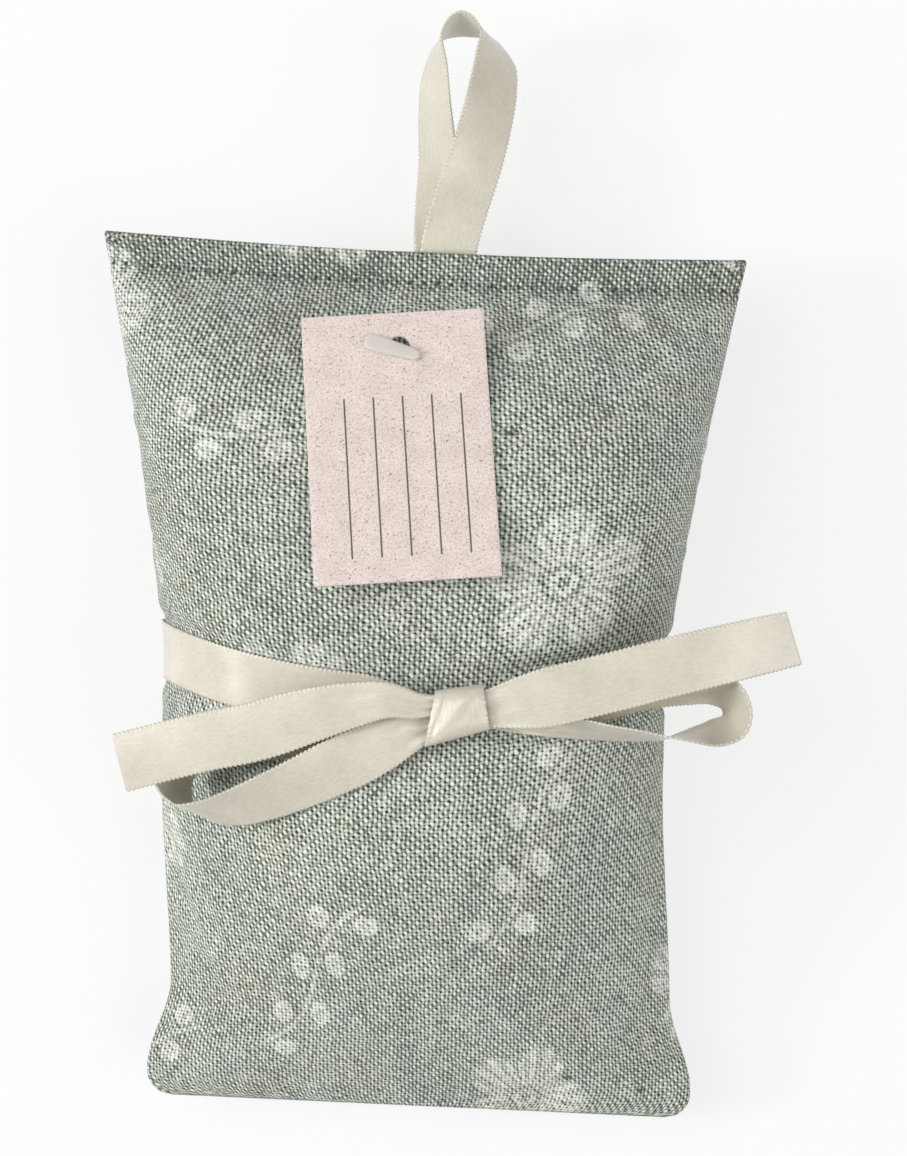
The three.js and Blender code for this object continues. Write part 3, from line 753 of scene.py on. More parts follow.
def card():
    """Pink-beige recycled card: pale mottling, grain, brown specks, short fibres and plain ruled lines."""
    material, tree, shader = new_finish("recycled_card", 0.82, 0.25)
    place, across, along = cloth_place(tree)
    pulp = noise(tree, place, 2.2, 4.0)
    cloud = noise(tree, place, 0.25)
    mottle = (pulp * 0.8 + cloud * 0.4).ease(0.35, 0.85)
    colour = blended(tree, mottle, linear(208, 194, 187), linear(232, 219, 212))
    grain = noise(tree, place, 3.0, 3.0).ease(0.5, 0.7)
    colour = blended(tree, grain * 0.5, colour, linear(150, 133, 125))
    shaken = vector_of(tree, across + pulp * 0.5, along + cloud * 0.8)
    for cell, share, size, ink in (
        (0.45, 0.5, 0.18, (160, 143, 135)),
        (1.1, 0.4, 0.22, (128, 110, 102)),
        (2.8, 0.3, 0.34, (100, 82, 74)),
    ):
        colour = blended(tree, specks(tree, shaken, cell, share, size) * 0.8, colour, linear(*ink))
    slanted = vector_of(tree, (across + along * 0.6) * 0.35, (along - across * 0.6) * 2.4, 90.0)
    fibre = noise(tree, slanted, 0.8).ease(0.7, 0.74)
    colour = blended(tree, fibre * 0.6, colour, linear(120, 100, 92))
    rule = ruled_lines(across, along) * pulp.ease(0.25, 0.5, 0.75, 1.0)
    colour = blended(tree, rule * 0.9, colour, linear(62, 54, 54))
    surface(tree, shader, colour, pulp, 0.05)
    return material


def nylon():
    """Milky nylon with a soft, slightly uneven gloss."""
    material, tree, shader = new_finish("nylon", 0.35)
    flow = noise(tree, piece_place(tree), 900.0)
    colour = blended(tree, flow, linear(246, 240, 232), linear(253, 250, 245))
    surface(tree, shader, colour, flow, 0.03)
    shader.inputs["Transmission Weight"].default_value = 0.52
    shader.inputs["IOR"].default_value = 1.45
    return material


def sewing_thread():
    """Pale thread with a slanting twist: a sine of the sum of the coordinates, and fuzz."""
    material, tree, shader = new_finish("sewing_thread", 0.7, 0.3)
    place = piece_place(tree)
    split = tree.nodes.new("ShaderNodeSeparateXYZ")
    tree.links.new(place, split.inputs[0])
    x, y, z = (Field(tree, s) for s in split.outputs)
    twist = ((x + y + z) * (2 * math.pi / (TWIST_PITCH * MM))).sine()
    fuzz = noise(tree, place, 1800.0)
    tone = (twist * 0.3 + fuzz).ease(0.1, 0.9)
    colour = blended(tree, tone, linear(150, 154, 142), linear(212, 215, 203))
    surface(tree, shader, colour, twist, 0.05)
    return material


def dried_buds():
    """Dried lavender: grey-violet buds and straw-coloured pieces, as cells whose dark edges are painted
    shade between the buds.
    """
    material, tree, shader = new_finish("dried_buds", 0.9, 0.2)
    cells = tree.nodes.new("ShaderNodeTexVoronoi")
    cells.inputs["Scale"].default_value = 380.0
    tree.links.new(piece_place(tree), cells.inputs["Vector"])
    edge = Field(tree, cells.outputs["Distance"])
    straw = noise(tree, cells.outputs["Position"], 700.0, 0.0).ease(0.55, 0.62)
    colour = blended(tree, straw, linear(108, 94, 128), linear(150, 142, 108))
    # Painted shade in the crevices between the buds
    colour = blended(tree, edge.ease(0.3, 0.75), colour, linear(52, 46, 58))
    surface(tree, shader, colour, -edge, 1.0)
    return material


# Linen cover


def puffed(trial, held):
    """Places of the trial cover's points after the simulation: slack cloth under pressure, partly held."""
    group = trial.vertex_groups.new(name="held")
    group.add(np.flatnonzero(held).tolist(), 1.0, "REPLACE")
    cloth = trial.modifiers.new("cloth", "CLOTH")
    cloth.settings.quality = 6
    cloth.settings.mass = 0.3
    cloth.settings.tension_stiffness = 25
    cloth.settings.compression_stiffness = 25
    cloth.settings.shear_stiffness = 8
    cloth.settings.bending_stiffness = 0.6
    cloth.settings.use_pressure = True
    cloth.settings.uniform_pressure_force = 0.8
    cloth.settings.shrink_min = -SIM_SLACK
    cloth.settings.shrink_max = -SIM_SLACK
    cloth.settings.vertex_group_mass = "held"
    cloth.settings.effector_weights.gravity = 0
    cloth.collision_settings.use_collision = False
    cloth.point_cache.frame_start = 1
    cloth.point_cache.frame_end = SIM_FRAMES
    for step in range(1, SIM_FRAMES + 1):
        bpy.context.scene.frame_set(step)
    settled = trial.evaluated_get(bpy.context.evaluated_depsgraph_get()).data
    moved = np.empty(len(settled.vertices) * 3, np.float32)
    settled.vertices.foreach_get("co", moved)
    return moved.reshape(-1, 3) / (MM * SIM_SCALE)


def settle(front, back):
    """Shifts of the two panels as the stuffed cover puffs and creases, held at hem, seams and ribbon.

    The panels are joined at their seams, and each point's shift is capped.
    """
    rows, columns = front.shape[:2]
    count = rows * columns
    numbers = np.arange(count).reshape(rows, columns)
    twin = numbers + count
    seams = (np.s_[:, 0], np.s_[:, -1], np.s_[0])
    for seam in seams:
        twin[seam] = numbers[seam]
    faces = grid_faces(rows, columns)
    joined = np.concatenate([faces, twin.ravel()[faces][:, ::-1]])
    points = np.concatenate([front.reshape(-1, 3), back.reshape(-1, 3)])
    used, place = np.unique(joined, return_inverse=True)
    mesh = bpy.data.meshes.new("cloth_trial")
    mesh.from_pydata((points[used] * MM * SIM_SCALE).tolist(), [], place.reshape(-1, 4).tolist())
    trial = placed("cloth_trial", mesh)

    held = np.zeros((2, rows, columns), bool)
    held[:, :, [0, -1]] = True
    held[:, 0] = True
    held[:, sim_rows > STITCH_Y - HELD_BELOW_STITCHES] = True
    held[:, np.abs(sim_rows) < GROOVE_HALF + HELD_BESIDE_BAND] = True
    held[1] |= back[..., 2] < HELD_NEAR_REST
    after = points.copy()
    after[used] = puffed(trial, held.ravel()[used])
    bpy.data.objects.remove(trial)
    bpy.context.scene.frame_set(1)

    shift = after - points
    size = np.linalg.norm(shift, axis=1, keepdims=True)
    shift *= np.minimum(1, SIM_LIMIT / np.maximum(size, 1e-6))
    front_shift, back_shift = shift.reshape(2, rows, columns, 3)
    for seam in seams:
        back_shift[seam] = front_shift[seam]
    return front_shift, back_shift


def finer(values, rows, columns):
    """A grid of values at more rows and columns, by cubic interpolation along each way in turn."""

    def weights(have, want):
        t = np.linspace(0, have - 1, want)
        i = np.clip(t.astype(int), 0, have - 2)
        f = t - i
        cubic = (
            ((2 - f) * f - 1) * f / 2,
            ((3 * f - 5) * f * f + 2) / 2,
            ((4 - 3 * f) * f + 1) * f / 2,
            (f - 1) * f * f / 2,
        )
        table = np.zeros((want, have))
        for k, part in enumerate(cubic):
            np.add.at(table, (np.arange(want), np.clip(i + k - 1, 0, have - 1)), part)
        return table

    down = weights(values.shape[0], rows)
    over = weights(values.shape[1], columns)
    return np.einsum("ri,cj,ijk->rck", down, over, values)


def needle_places(face):
    """The needle holes of the closing row, at even steps across the hem."""
    across = (np.arange(STITCH_COUNT + 1) - STITCH_COUNT / 2) * HOLE_PITCH
    u = np.arcsin(across / (HEM_WIDTH / 2)) * 2 / math.pi
    return bag_point(face, u, np.full(across.shape, STITCH_Y))


def hem_turn(edge, face):
    """Rows over the hem's fold, half a circle, and down inside, pinched together at the side seams."""
    radius = HEM_PLIES / 2
    angle = np.linspace(0.25, 1, 4) * math.pi
    up = np.concatenate([np.sin(angle) * radius, [-HEM_TUCK]])
    inward = np.concatenate([1 - np.cos(angle), [2]]) * radius * HEM_PRESSED
    open_at = smooth(HEM_WIDTH / 2 - np.abs(edge[:, 0]), 0, HEM_PINCH)
    rows = np.repeat(edge[None], len(up), axis=0)
    rows[..., 0] *= np.linspace(0.998, 0.985, len(up))[:, None]
    rows[..., 1] += up[:, None]
    rows[..., 2] -= face * inward[:, None] * open_at
    return rows


def eased_rows(grid, weight):
    """Each point drawn towards a bell-weighted mean of the rows near it, by its own row's weight."""
    reach = 8
    bell = np.exp(-np.linspace(-2, 2, 2 * reach + 1) ** 2)
    bell /= bell.sum()
    padded = np.concatenate([np.repeat(grid[:1], reach, axis=0), grid, np.repeat(grid[-1:], reach, axis=0)])
    soft = sum(share * padded[i : i + len(grid)] for i, share in enumerate(bell))
    return grid + (soft - grid) * weight[:, None, None]


def pressed_under_tag(grid):
    """Keeps the cloth under the tag's underside, wherever the tag lies as it turns on its pin."""
    x, y, z = np.moveaxis(grid, -1, 0)
    slope = math.tan(math.radians(CARD_SLOPE))
    underside = HOLE_PLACE[2] - (y - HOLE_PLACE[1]) * slope - UNDER_CARD
    beside = smooth(x, *SWEEP_LEFT) * smooth(-x, *SWEEP_RIGHT)
    near = beside * smooth(y, *SWEEP_FOOT) * smooth(-y, *SWEEP_HEM)
    grid[..., 2] = z - np.maximum(0, z - underside) * near
    return grid


def creases(face, across, along):
    """How far the cloth stands out: seam puckers and lumps of the filling, less the stitched dent."""
    from_seam = np.minimum(HEM_WIDTH / 2 - np.abs(across), along)
    pucker = SIDE_PUCKER * np.exp(-from_seam / 5.0) * ripple(across * 0.15, along, 7.5, 3 + face)
    pucker += FOOT_PUCKER * np.exp(-along / 6.0) * ripple(across, along * 0.15, 8.5, 9 + face)
    pucker *= smooth(from_seam, 0, 1.5)
    lumps = LUMP * ripple(across, along, 9.0, 21 + face) * smooth(from_seam, 4, 18)
    dent = STITCH_DENT * np.exp(-(((along - stitch_line) / 1.1) ** 2))
    off_hem = smooth(panel_length - along, 2, 9)
    off_band = smooth(np.abs(fine_rows), GROOVE_HALF, GROOVE_HALF + 6)[:, None]
    return (pucker + lumps) * off_hem * off_band - dent


def cover_panel(name, face, node, shift):
    """One linen panel: the bag's skin, settled as cloth and creased, with its hem turned in."""
    grid = panel_grid(face, COLUMNS, fine_rows)
    across = np.broadcast_to(np.linspace(-HEM_WIDTH / 2, HEM_WIDTH / 2, COLUMNS), grid.shape[:2])
    along = np.broadcast_to(cloth_rows[:, None], grid.shape[:2])
    grid = grid + finer(shift, ROWS, COLUMNS)
    grid = eased_rows(grid, np.exp(-(((fine_rows - STITCH_Y + 1) / 4) ** 2)))
    grid = grid + face * grid_normals(grid) * creases(face, across, along)[..., None]
    if face == BACK:
        grid[..., 2] = np.maximum(grid[..., 2], 0)
    else:
        grid = pressed_under_tag(grid)

    fold = hem_turn(grid[-1], face)
    grid = np.concatenate([grid, fold])
    extra = np.linspace(0.5, 6, len(fold))[:, None]
    across = np.concatenate([across, np.repeat(across[-1:], len(fold), axis=0)])
    along = np.concatenate([along, np.broadcast_to(panel_length + extra, fold.shape[:2])])
    faces = grid_faces(*grid.shape[:2])
    if face == BACK:
        faces = faces[:, ::-1]
        across = BACK_CLOTH - across
    piece = mesh_piece(name, grid, faces, np.stack([across, along], axis=-1))
    thicken(piece, CLOTH, -1)
    dress(piece, LINEN, [node], "bag")


def buds():
    """The filling: the bag's skin sunk under the cloth, with bud-sized lumps, as one closed form."""
    rows = np.linspace(FOOT_Y + BUDS_END_GAP, STITCH_Y - BUDS_END_GAP, 90)
    u = np.linspace(-BUDS_SIDE, BUDS_SIDE, 70)
    front = bag_point(FRONT, u[None], rows[:, None], BUDS_INSET)
    back = bag_point(BACK, u[None], rows[:, None], BUDS_INSET)
    ring = np.concatenate([front, back[:, ::-1]], axis=1)
    ring = np.concatenate([ring, ring[:, :1]], axis=1)
    middle = ring.mean(axis=1, keepdims=True)
    lump = ripple(ring[..., 0] + ring[..., 2], ring[..., 1], BUD_LENGTH, 31)[..., None]
    lump[:, -1] = lump[:, 0]
    ring = ring - unit_vectors(ring - middle) * (BUD_DEPTH + BUD_HEIGHT * lump)
    grid = lidded(ring, ring[[0, -1]].mean(axis=1))
    piece = mesh_piece("lavender_buds", grid, grid_faces(*grid.shape[:2])[:, ::-1])
    clean_mesh(piece)
    dress(piece, BUDS, ["lavender_filling"], "bag")


def closing_stitches(name, face, node):
    """Each stitch is a short arched thread between two needle holes: a tube along half a sine."""
    holes = needle_places(face)
    start, end = holes[:-1], holes[1:]
    t = np.linspace(0.06, 0.94, 9)
    turn = np.linspace(0, 2 * math.pi, 9)[:-1]
    line = start[:, None] + (end - start)[:, None] * t[:, None]
    line[..., 2] += face * (np.sin(t * math.pi) ** 0.5 * STITCH_ARCH - STITCH_SUNK)
    forward = unit_vectors(np.gradient(line, axis=1))
    aside = unit_vectors(np.cross(forward, [0.0, 0.0, face]))
    above = np.cross(aside, forward)
    thick = THREAD_RADIUS * np.sin(np.linspace(0.22, math.pi - 0.22, len(t))) ** 0.4
    ring = aside[:, :, None] * np.cos(turn)[:, None] + above[:, :, None] * np.sin(turn)[:, None]
    tube = line[:, :, None] + ring * thick[:, None, None]
    sides = len(turn)
    size = len(t) * sides
    r = np.arange(len(t) - 1)[:, None] * sides
    c = np.arange(sides)
    following = (c + 1) % sides
    one = np.stack([r + c, r + following, r + sides + following, r + sides + c], axis=-1).reshape(-1, 4)
    first = np.arange(len(start))[:, None] * size
    faces = (first[..., None] + one).reshape(-1, 4)
    piece = mesh_piece(name, tube, faces)
    clean_mesh(piece, np.concatenate([first + c[::-1], first + size - sides + c]).tolist())
    dress(piece, THREAD, [node], "bag")


# Ribbons


def course(route, spacing):
    """A ribbon's middle line through [x, y, z, roll] points, a centripetal spline cut at even lengths.

    Gives places, directions, the way across the ribbon (flat at roll 0, on edge at 90) and lengths.
    """
    knots = np.array(route, float)
    ends = np.array([2 * knots[0] - knots[1], 2 * knots[-1] - knots[-2]])
    p = np.concatenate([ends[:1], knots, ends[1:]])
    gap = np.linalg.norm(np.diff(p[:, :3], axis=0), axis=1) ** 0.5
    d0, d1, d2 = gap[:-2, None], gap[1:-1, None], gap[2:, None]
    a, b, c, d = p[:-3], p[1:-2], p[2:-1], p[3:]
    leave = ((b - a) / d0 - (c - a) / (d0 + d1) + (c - b) / d1) * d1
    arrive = ((c - b) / d1 - (d - b) / (d1 + d2) + (d - c) / d2) * d1
    t = np.linspace(0, 1, 60, endpoint=False)[:, None, None]
    line = b + leave * t + (3 * (c - b) - 2 * leave - arrive) * t**2 + (2 * (b - c) + leave + arrive) * t**3
    line = np.concatenate([line.transpose(1, 0, 2).reshape(-1, 4), knots[-1:]])
    travelled = lengths_along(line[:, :3])
    along = np.linspace(0, travelled[-1], int(travelled[-1] / spacing) + 1)
    even = np.stack([np.interp(along, travelled, line[:, i]) for i in range(4)], axis=-1)
    place = even[:, :3]
    forward = unit_vectors(np.gradient(place, axis=0))
    roll = np.radians(even[:, 3:])
    flat = unit_vectors(np.cross(forward, [0.0, 0.0, 1.0]))
    aside = np.cos(roll) * flat + np.sin(roll) * np.cross(forward, flat)
    return place, forward, unit_vectors(aside), along


RIBBON_ACROSS = np.array([-1, -0.955, -0.9, -0.75, -0.5, -0.25, 0, 0.25, 0.5, 0.75, 0.9, 0.955, 1.0])


def toothed(across, along):
    """How far each place across lies from the ribbon's middle: the selvedges swell into small teeth."""
    tooth = TOOTH * (0.5 + 0.5 * np.cos(2 * math.pi * along / TOOTH_PITCH))[:, None]
    edge = np.sign(across) * smooth(np.abs(across), 0.955, 1.0)
    return across * (RIBBON_WIDTH / 2 - TOOTH / 2) + edge * tooth


def ribbon(
    name,
    route,
    nodes,
    roots=(1, 1),
    runs=(14, 14),
    pleat=0.0,
    cup=0.15,
    slant=0.0,
    held="folded",
    rests_on=(),
):
    """A satin strip along a route, drawn in to a share of its width at its roots, in pleats that open out.

    Its far end is cut off on a slant, in millimetres from one edge to the other.
    """
    place, forward, aside, along = course(route, TOOTH_PITCH / 4)
    out = np.cross(forward, aside)
    across = toothed(RIBBON_ACROSS, along)
    left = np.stack([along, along[-1] - along])
    shut = np.clip(1 - (left - ROOT_HELD) / np.array(runs)[:, None], 0, 1) ** 1.6
    taken = (1 - np.array(roots))[:, None]
    drawn = 1 - (shut * taken).sum(axis=0)
    fold = pleat * (shut**2 * taken).sum(axis=0)[:, None] * np.cos(RIBBON_ACROSS * 2.5 * math.pi)
    bow = cup * (1 - RIBBON_ACROSS**2)
    grid = place[:, None] + aside[:, None] * (across * drawn[:, None])[..., None]
    skew = slant * smooth(along, along[-1] - SLANT_RUN, along[-1])[:, None] * (RIBBON_ACROSS - 1) / 2
    grid = grid + out[:, None] * (fold + bow)[..., None] + forward[:, None] * skew[..., None]
    uv = np.stack([along[:, None] + skew, across], axis=-1)
    piece = mesh_piece(name, grid, grid_faces(*grid.shape[:2]), uv)
    thicken(piece, RIBBON, 0)
    dress(piece, SATIN, nodes)
    along[-1] * MM
    return piece


def route_from(origin, offsets, side=1):
    """A route given from its root, moved to the origin, and mirrored in X where side is -1."""
    return [[origin[0] + side * x, origin[1] + y, origin[2] + z, roll] for x, y, z, roll in offsets]


# Routes from each ribbon's root: x outwards, y and z in millimetres, and the roll in degrees
LOOP_ROUTE = [
    [LOOP_SHIFT, -LOOP_SEWN, LOOP_LAYER, 0],
    [LOOP_SHIFT, -3, LOOP_LAYER, 0],
    [LOOP_SHIFT, 0.3, LOOP_LAYER, 0],
    [LOOP_SHIFT, 1.6, 0.5, 0],
    [1.3, 5, 1, 4],
    [2.6, 9.6, 1.6, 8],
    [4.7, 16.3, 1.9, 15],
    [6.5, 23.5, 1.2, 23],
    [7.8, 30.6, 0.2, 32],
    [8.1, 35.8, -1, 46],
    [6.8, 40.4, -2.4, 78],
    [2, 42.6, -3.6, 104],
    [-2, 40.1, -3.8, 86],
    [-2.8, 33.8, -3.6, 64],
    [-2.6, 26.5, -3.3, 55],
    [-1.8, 18.1, -2.9, 46],
    [-1.1, 9.6, -1.9, 24],
    [-0.8, 5, -1.1, 9],
    [-LOOP_SHIFT, 1.6, -0.5, 0],
    [-LOOP_SHIFT, 0.3, -LOOP_LAYER, 0],
    [-LOOP_SHIFT, -3, -LOOP_LAYER, 0],
    [-LOOP_SHIFT, -LOOP_SEWN, -LOOP_LAYER, 0],
]

LEFT_LOOP_ROUTE = [
    [-3, -2.2, 2, 180],
    [0, -2.5, 2, 180],
    [2.4, -3.1, 2, 180],
    [7.4, -5.6, 1.9, 175],
    [14.2, -9, 1.9, 166],
    [21, -12.4, 1.7, 154],
    [28.4, -15.7, 1.3, 141],
    [32.8, -17.3, 0.5, 131],
    [37.4, -18.2, -1, 114],
    [41, -17.4, -2.8, 88],
    [43, -14.6, -4, 64],
    [43, -11.4, -4.4, 50],
    [40.5, -8.4, -3.8, 43],
    [35, -6.2, -2.2, 32],
    [27, -4.2, -0.7, 18],
    [17.8, -2.2, 0.6, 8],
    [7.8, -0.4, 1, 3],
    [2.4, 0, 1, 0],
    [0, 0, 1, 0],
    [-3, 0, 1.2, 0],
]

RIGHT_LOOP_ROUTE = [
    [-3, -0.4, 1.9, 0],
    [0, -0.4, 1.9, 0],
    [2.4, -0.5, 1.8, 10],
    [7.4, -1.1, 1.3, 36],
    [14, -2, 0.5, 58],
    [19.9, -2.7, 0, 70],
    [25.1, -3.1, 0, 76],
    [31, -3.5, -0.3, 86],
    [35, -3.2, -1, 100],
    [38.7, -2.6, -1.8, 112],
    [41.4, -1.2, -2.5, 116],
    [42.5, 0.8, -3, 112],
    [42, 3, -3.4, 115],
    [39.5, 4.9, -3.5, 126],
    [35, 5.9, -2.8, 140],
    [27, 5.6, -1.2, 150],
    [17, 3.4, 0.3, 164],
    [7, 1.6, 0.9, 175],
    [2.4, 1, 0.9, 180],
    [0, 1, 0.9, 180],
    [-3, 1, 1.2, 180],
]

LEFT_TAIL_ROUTE = [
    [-2.5, 1.2, 3.5, 180],
    [0, 1.2, 3.7, 180],
    [2, 1.2, 3.8, 180],
    [7, 2, 4.3, 180],
    [12.5, 1.1, 4.1, 180],
    [19.8, -0.9, 3.8, 180],
    [29.8, -4.1, 3.1, 180],
    [38.4, -6.1, 2.2, 180],
    [52, -10, 0.3, 180],
]

RIGHT_TAIL_ROUTE = [
    [-2.5, 0.9, 3.5, 0],
    [0, 1.1, 3.7, 0],
    [2, 1.4, 3.8, 0],
    [7.8, 2.7, 4.5, 0],
    [21.2, 6.2, 4.4, 0],
    [29.7, 8.6, 3.7, 0],
    [40.9, 11.5, 2.6, 8],
    [52.2, 14.3, 0.7, 20],
]

# Shares of the width kept at each root, the runs over which the pleats open, and the slant of a cut
LEFT_LOOP_FOLDS = {"roots": (0.5, 0.42), "runs": (15, 16)}
LEFT_TAIL_FOLDS = {"roots": (0.36, 1), "runs": (28, 14)}
RIGHT_LOOP_FOLDS = {"roots": (0.34, 0.4), "runs": (32, 16)}
RIGHT_TAIL_FOLDS = {"roots": (0.62, 1), "runs": (11, 14), "slant": 1.6}


def node_box(node):
    """The two corners of a node's box, in millimetres."""
    low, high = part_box(node)
    return np.array(low) / MM, np.array(high) / MM


def hanging_loop():
    """The loop at the hem with its two sewn ends, one ribbon."""
    hem_edge = bag_point(FRONT, math.asin(2 * LOOP_X / HEM_WIDTH) * 2 / math.pi, HEM_Y)[1]
    route = route_from((LOOP_X, hem_edge, SEAM_HEM), LOOP_ROUTE)
    nodes = ["hanging_loop", "loop_end_front", "loop_end_back"]
    piece = ribbon("hanging_loop_ribbon", route, nodes, cup=0.1, rests_on=["front_linen", "back_linen"])
    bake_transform(piece)


def bow_side(hand, side, loop_route, loop_folds, tail_route, tail_folds):
    """One side of the bow: a loop and a tail."""
    low, high = node_box("bow_knot")
    knot_y, base = (low[1] + high[1]) / 2, low[2]
    face = high[0] if side > 0 else low[0]
    origin = (face + side * ROOT_GAP, knot_y, base)
    rests = ["waist_ribbon", "bow_knot_wrap"]
    loop = ribbon(
        f"bow_{hand}_loop",
        route_from(origin, loop_route, side),
        [f"bow_loop_{hand}"],
        pleat=1.5,
        rests_on=rests,
        **loop_folds,
    )
    tail = ribbon(
        f"bow_{hand}_tail",
        route_from(origin, tail_route, side),
        [f"bow_tail_{hand}"],
        pleat=1.0,
        held="gathered",
        rests_on=rests,
        **tail_folds,
    )
    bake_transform(loop)
    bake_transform(tail)


def waist_band():
    """The waist's ribbon: the bag's skin along its channel, lifted clear and drawn in at the knot."""
    u = np.linspace(-1, 1, BAND_STATIONS)
    lift = -FIT_GAP - RIBBON / 2
    line = np.concatenate([bag_point(FRONT, u, 0.0, lift), bag_point(BACK, u[::-1], 0.0, lift)])
    travelled = lengths_along(line)
    count = int(travelled[-1] / (TOOTH_PITCH / 4))
    along = np.linspace(0, travelled[-1], count, endpoint=False)
    station = np.interp(along, travelled, np.concatenate([u, 2 - u[::-1]]))
    on_front = along < travelled[BAND_STATIONS - 1]
    station = np.where(on_front, station, 2 - station)
    across = toothed(RIBBON_ACROSS, along)
    x = np.interp(station, u, line[:BAND_STATIONS, 0])
    drawn = (on_front * (1 - smooth(np.abs(x - KNOT_X), *BAND_DRAWN)))[:, None]
    row = across * (1 - BAND_TAKEN * drawn) - BAND_SHIFT * drawn
    front, back = (bag_point(face, station[:, None], row, lift) for face in (FRONT, BACK))
    grid = np.where(on_front[:, None, None], front, back)
    grid[..., 2] += BAND_PLEAT * drawn * np.cos(RIBBON_ACROSS * 3 * math.pi)
    uv = np.stack(np.broadcast_arrays(along[:, None], across), axis=-1)
    piece = mesh_piece("waist_ribbon", grid, grid_faces(*grid.shape[:2], closed=True)[:, ::-1], uv)
    thicken(piece, RIBBON - BAND_THINNER, 0)
    dress(piece, SATIN, ["ribbon_band"], "bag")


def knot():
    """The bow's wrap: a ribbon once round a blunt oval, wider below than above, with a soft slanting ridge.

    Each point is a blend of the four corners seen from above, with the oval's sine for its height.
    """
    low, high = node_box("bow_knot")
    t = np.linspace(0, 1, 46)[None]
    turn = np.linspace(0, 2 * math.pi, 120, endpoint=False)[:, None]
    up = blunt(np.cos(turn), 0.62)
    out = blunt(np.sin(turn), 0.7)
    edges = smooth(t, 0.97, 1) - smooth(1 - t, 0.97, 1)
    place = t + KNOT_TOOTH * np.cos(turn * KNOT_TEETH) * edges
    upper = np.stack([mix(*KNOT_TOP[0::2], place), mix(*KNOT_TOP[1::2], place)], axis=-1)
    lower = np.stack([mix(*KNOT_FOOT[0::2], place), mix(*KNOT_FOOT[1::2], place)], axis=-1)
    plan = mix(lower, upper, ((up + 1) / 2)[..., None])
    pinch = 1 - 0.2 * (2 * t - 1) ** 4
    ridge = KNOT_RIDGE * np.exp(-(((t - 0.5 - 0.3 * up) / 0.25) ** 2)) * smooth(out, 0.2, 0.8)
    crease = KNOT_CREASE * np.exp(-(((t - 0.16 - 0.1 * up) / 0.06) ** 2)) * smooth(out, 0.2, 0.8)
    half = (high[2] - low[2]) / 2
    z = low[2] + half * (1 + pinch * out) + ridge - crease
    grid = np.concatenate([plan, z[..., None]], axis=-1)
    along = np.broadcast_to(turn * KNOT_RADIUS, z.shape)
    across = np.broadcast_to(t * RIBBON_WIDTH - RIBBON_WIDTH / 2, z.shape)
    uv = np.stack([along, across], axis=-1)
    piece = mesh_piece("bow_knot_wrap", grid, grid_faces(*grid.shape[:2], closed=True), uv)
    thicken(piece, RIBBON, -1)
    dress(piece, SATIN, ["bow_knot"], "bag")


# Swing tag


def on_tag(points):
    """From the tag's own plane, hole at its origin, to the part's frame: a tilt about X, then a shift."""
    tilt = math.radians(-CARD_SLOPE)
    c, s = math.cos(tilt), math.sin(tilt)
    x, y, z = np.moveaxis(points, -1, 0)
    return np.stack([x, y * c - z * s, y * s + z * c], axis=-1) + HOLE_PLACE


def turned(points, degrees):
    """Points turned about Z."""
    angle = math.radians(degrees)
    c, s = math.cos(angle), math.sin(angle)
    x, y, z = np.moveaxis(points, -1, 0)
    return np.stack([x * c - y * s, x * s + y * c, z], axis=-1)


def swing_tag():
    """The card: rays from the hole's rim to the rectangle's edge, bowed by the square of the length."""
    left, top = -CARD_WIDTH / 2 - CARD_HOLE_SHIFT, CARD_HOLE_INSET
    right, bottom = left + CARD_WIDTH, top - CARD_LENGTH
    corners = [math.atan2(y, x) for x, y in ((right, top), (left, top), (left, bottom), (right, bottom))]
    even = np.linspace(-math.pi, math.pi, CARD_RAYS + 1)[:-1]
    even = even[np.abs(even[:, None] - corners).min(axis=1) > CARD_RAY_GAP]
    angle = np.sort(np.concatenate([even, corners]))
    c, s = np.cos(angle), np.sin(angle)
    reach_x = np.where(c > 0, right, left) / np.where(np.abs(c) < 1e-9, 1e-9, c)
    reach_y = np.where(s > 0, top, bottom) / np.where(np.abs(s) < 1e-9, 1e-9, s)
    far = np.minimum(np.abs(reach_x), np.abs(reach_y))
    t = np.linspace(0, 1, CARD_RINGS)[None]
    radius = mix(CARD_HOLE / 2, far[:, None], t**1.3)
    flat = np.stack([radius * c[:, None], radius * s[:, None]], axis=-1)
    along = (flat[..., 1] - bottom) / CARD_LENGTH
    curl = CARD_BOW * (2 * along - 1) ** 2
    grid = np.concatenate([flat, curl[..., None]], axis=-1)
    faces = grid_faces(*grid.shape[:2], closed=True)[:, ::-1]
    piece = mesh_piece("card_tag", on_tag(turned(grid, CARD_TURN)), faces, flat + CARD_MAP)
    thicken(piece, CARD, 0)
    edge = piece.modifiers.new("worn_edge", "BEVEL")
    edge.width = CARD_EDGE * MM
    edge.segments = 2
    edge.use_clamp_overlap = False
    dress(piece, CARD_STOCK, ["swing_tag"], "tag")


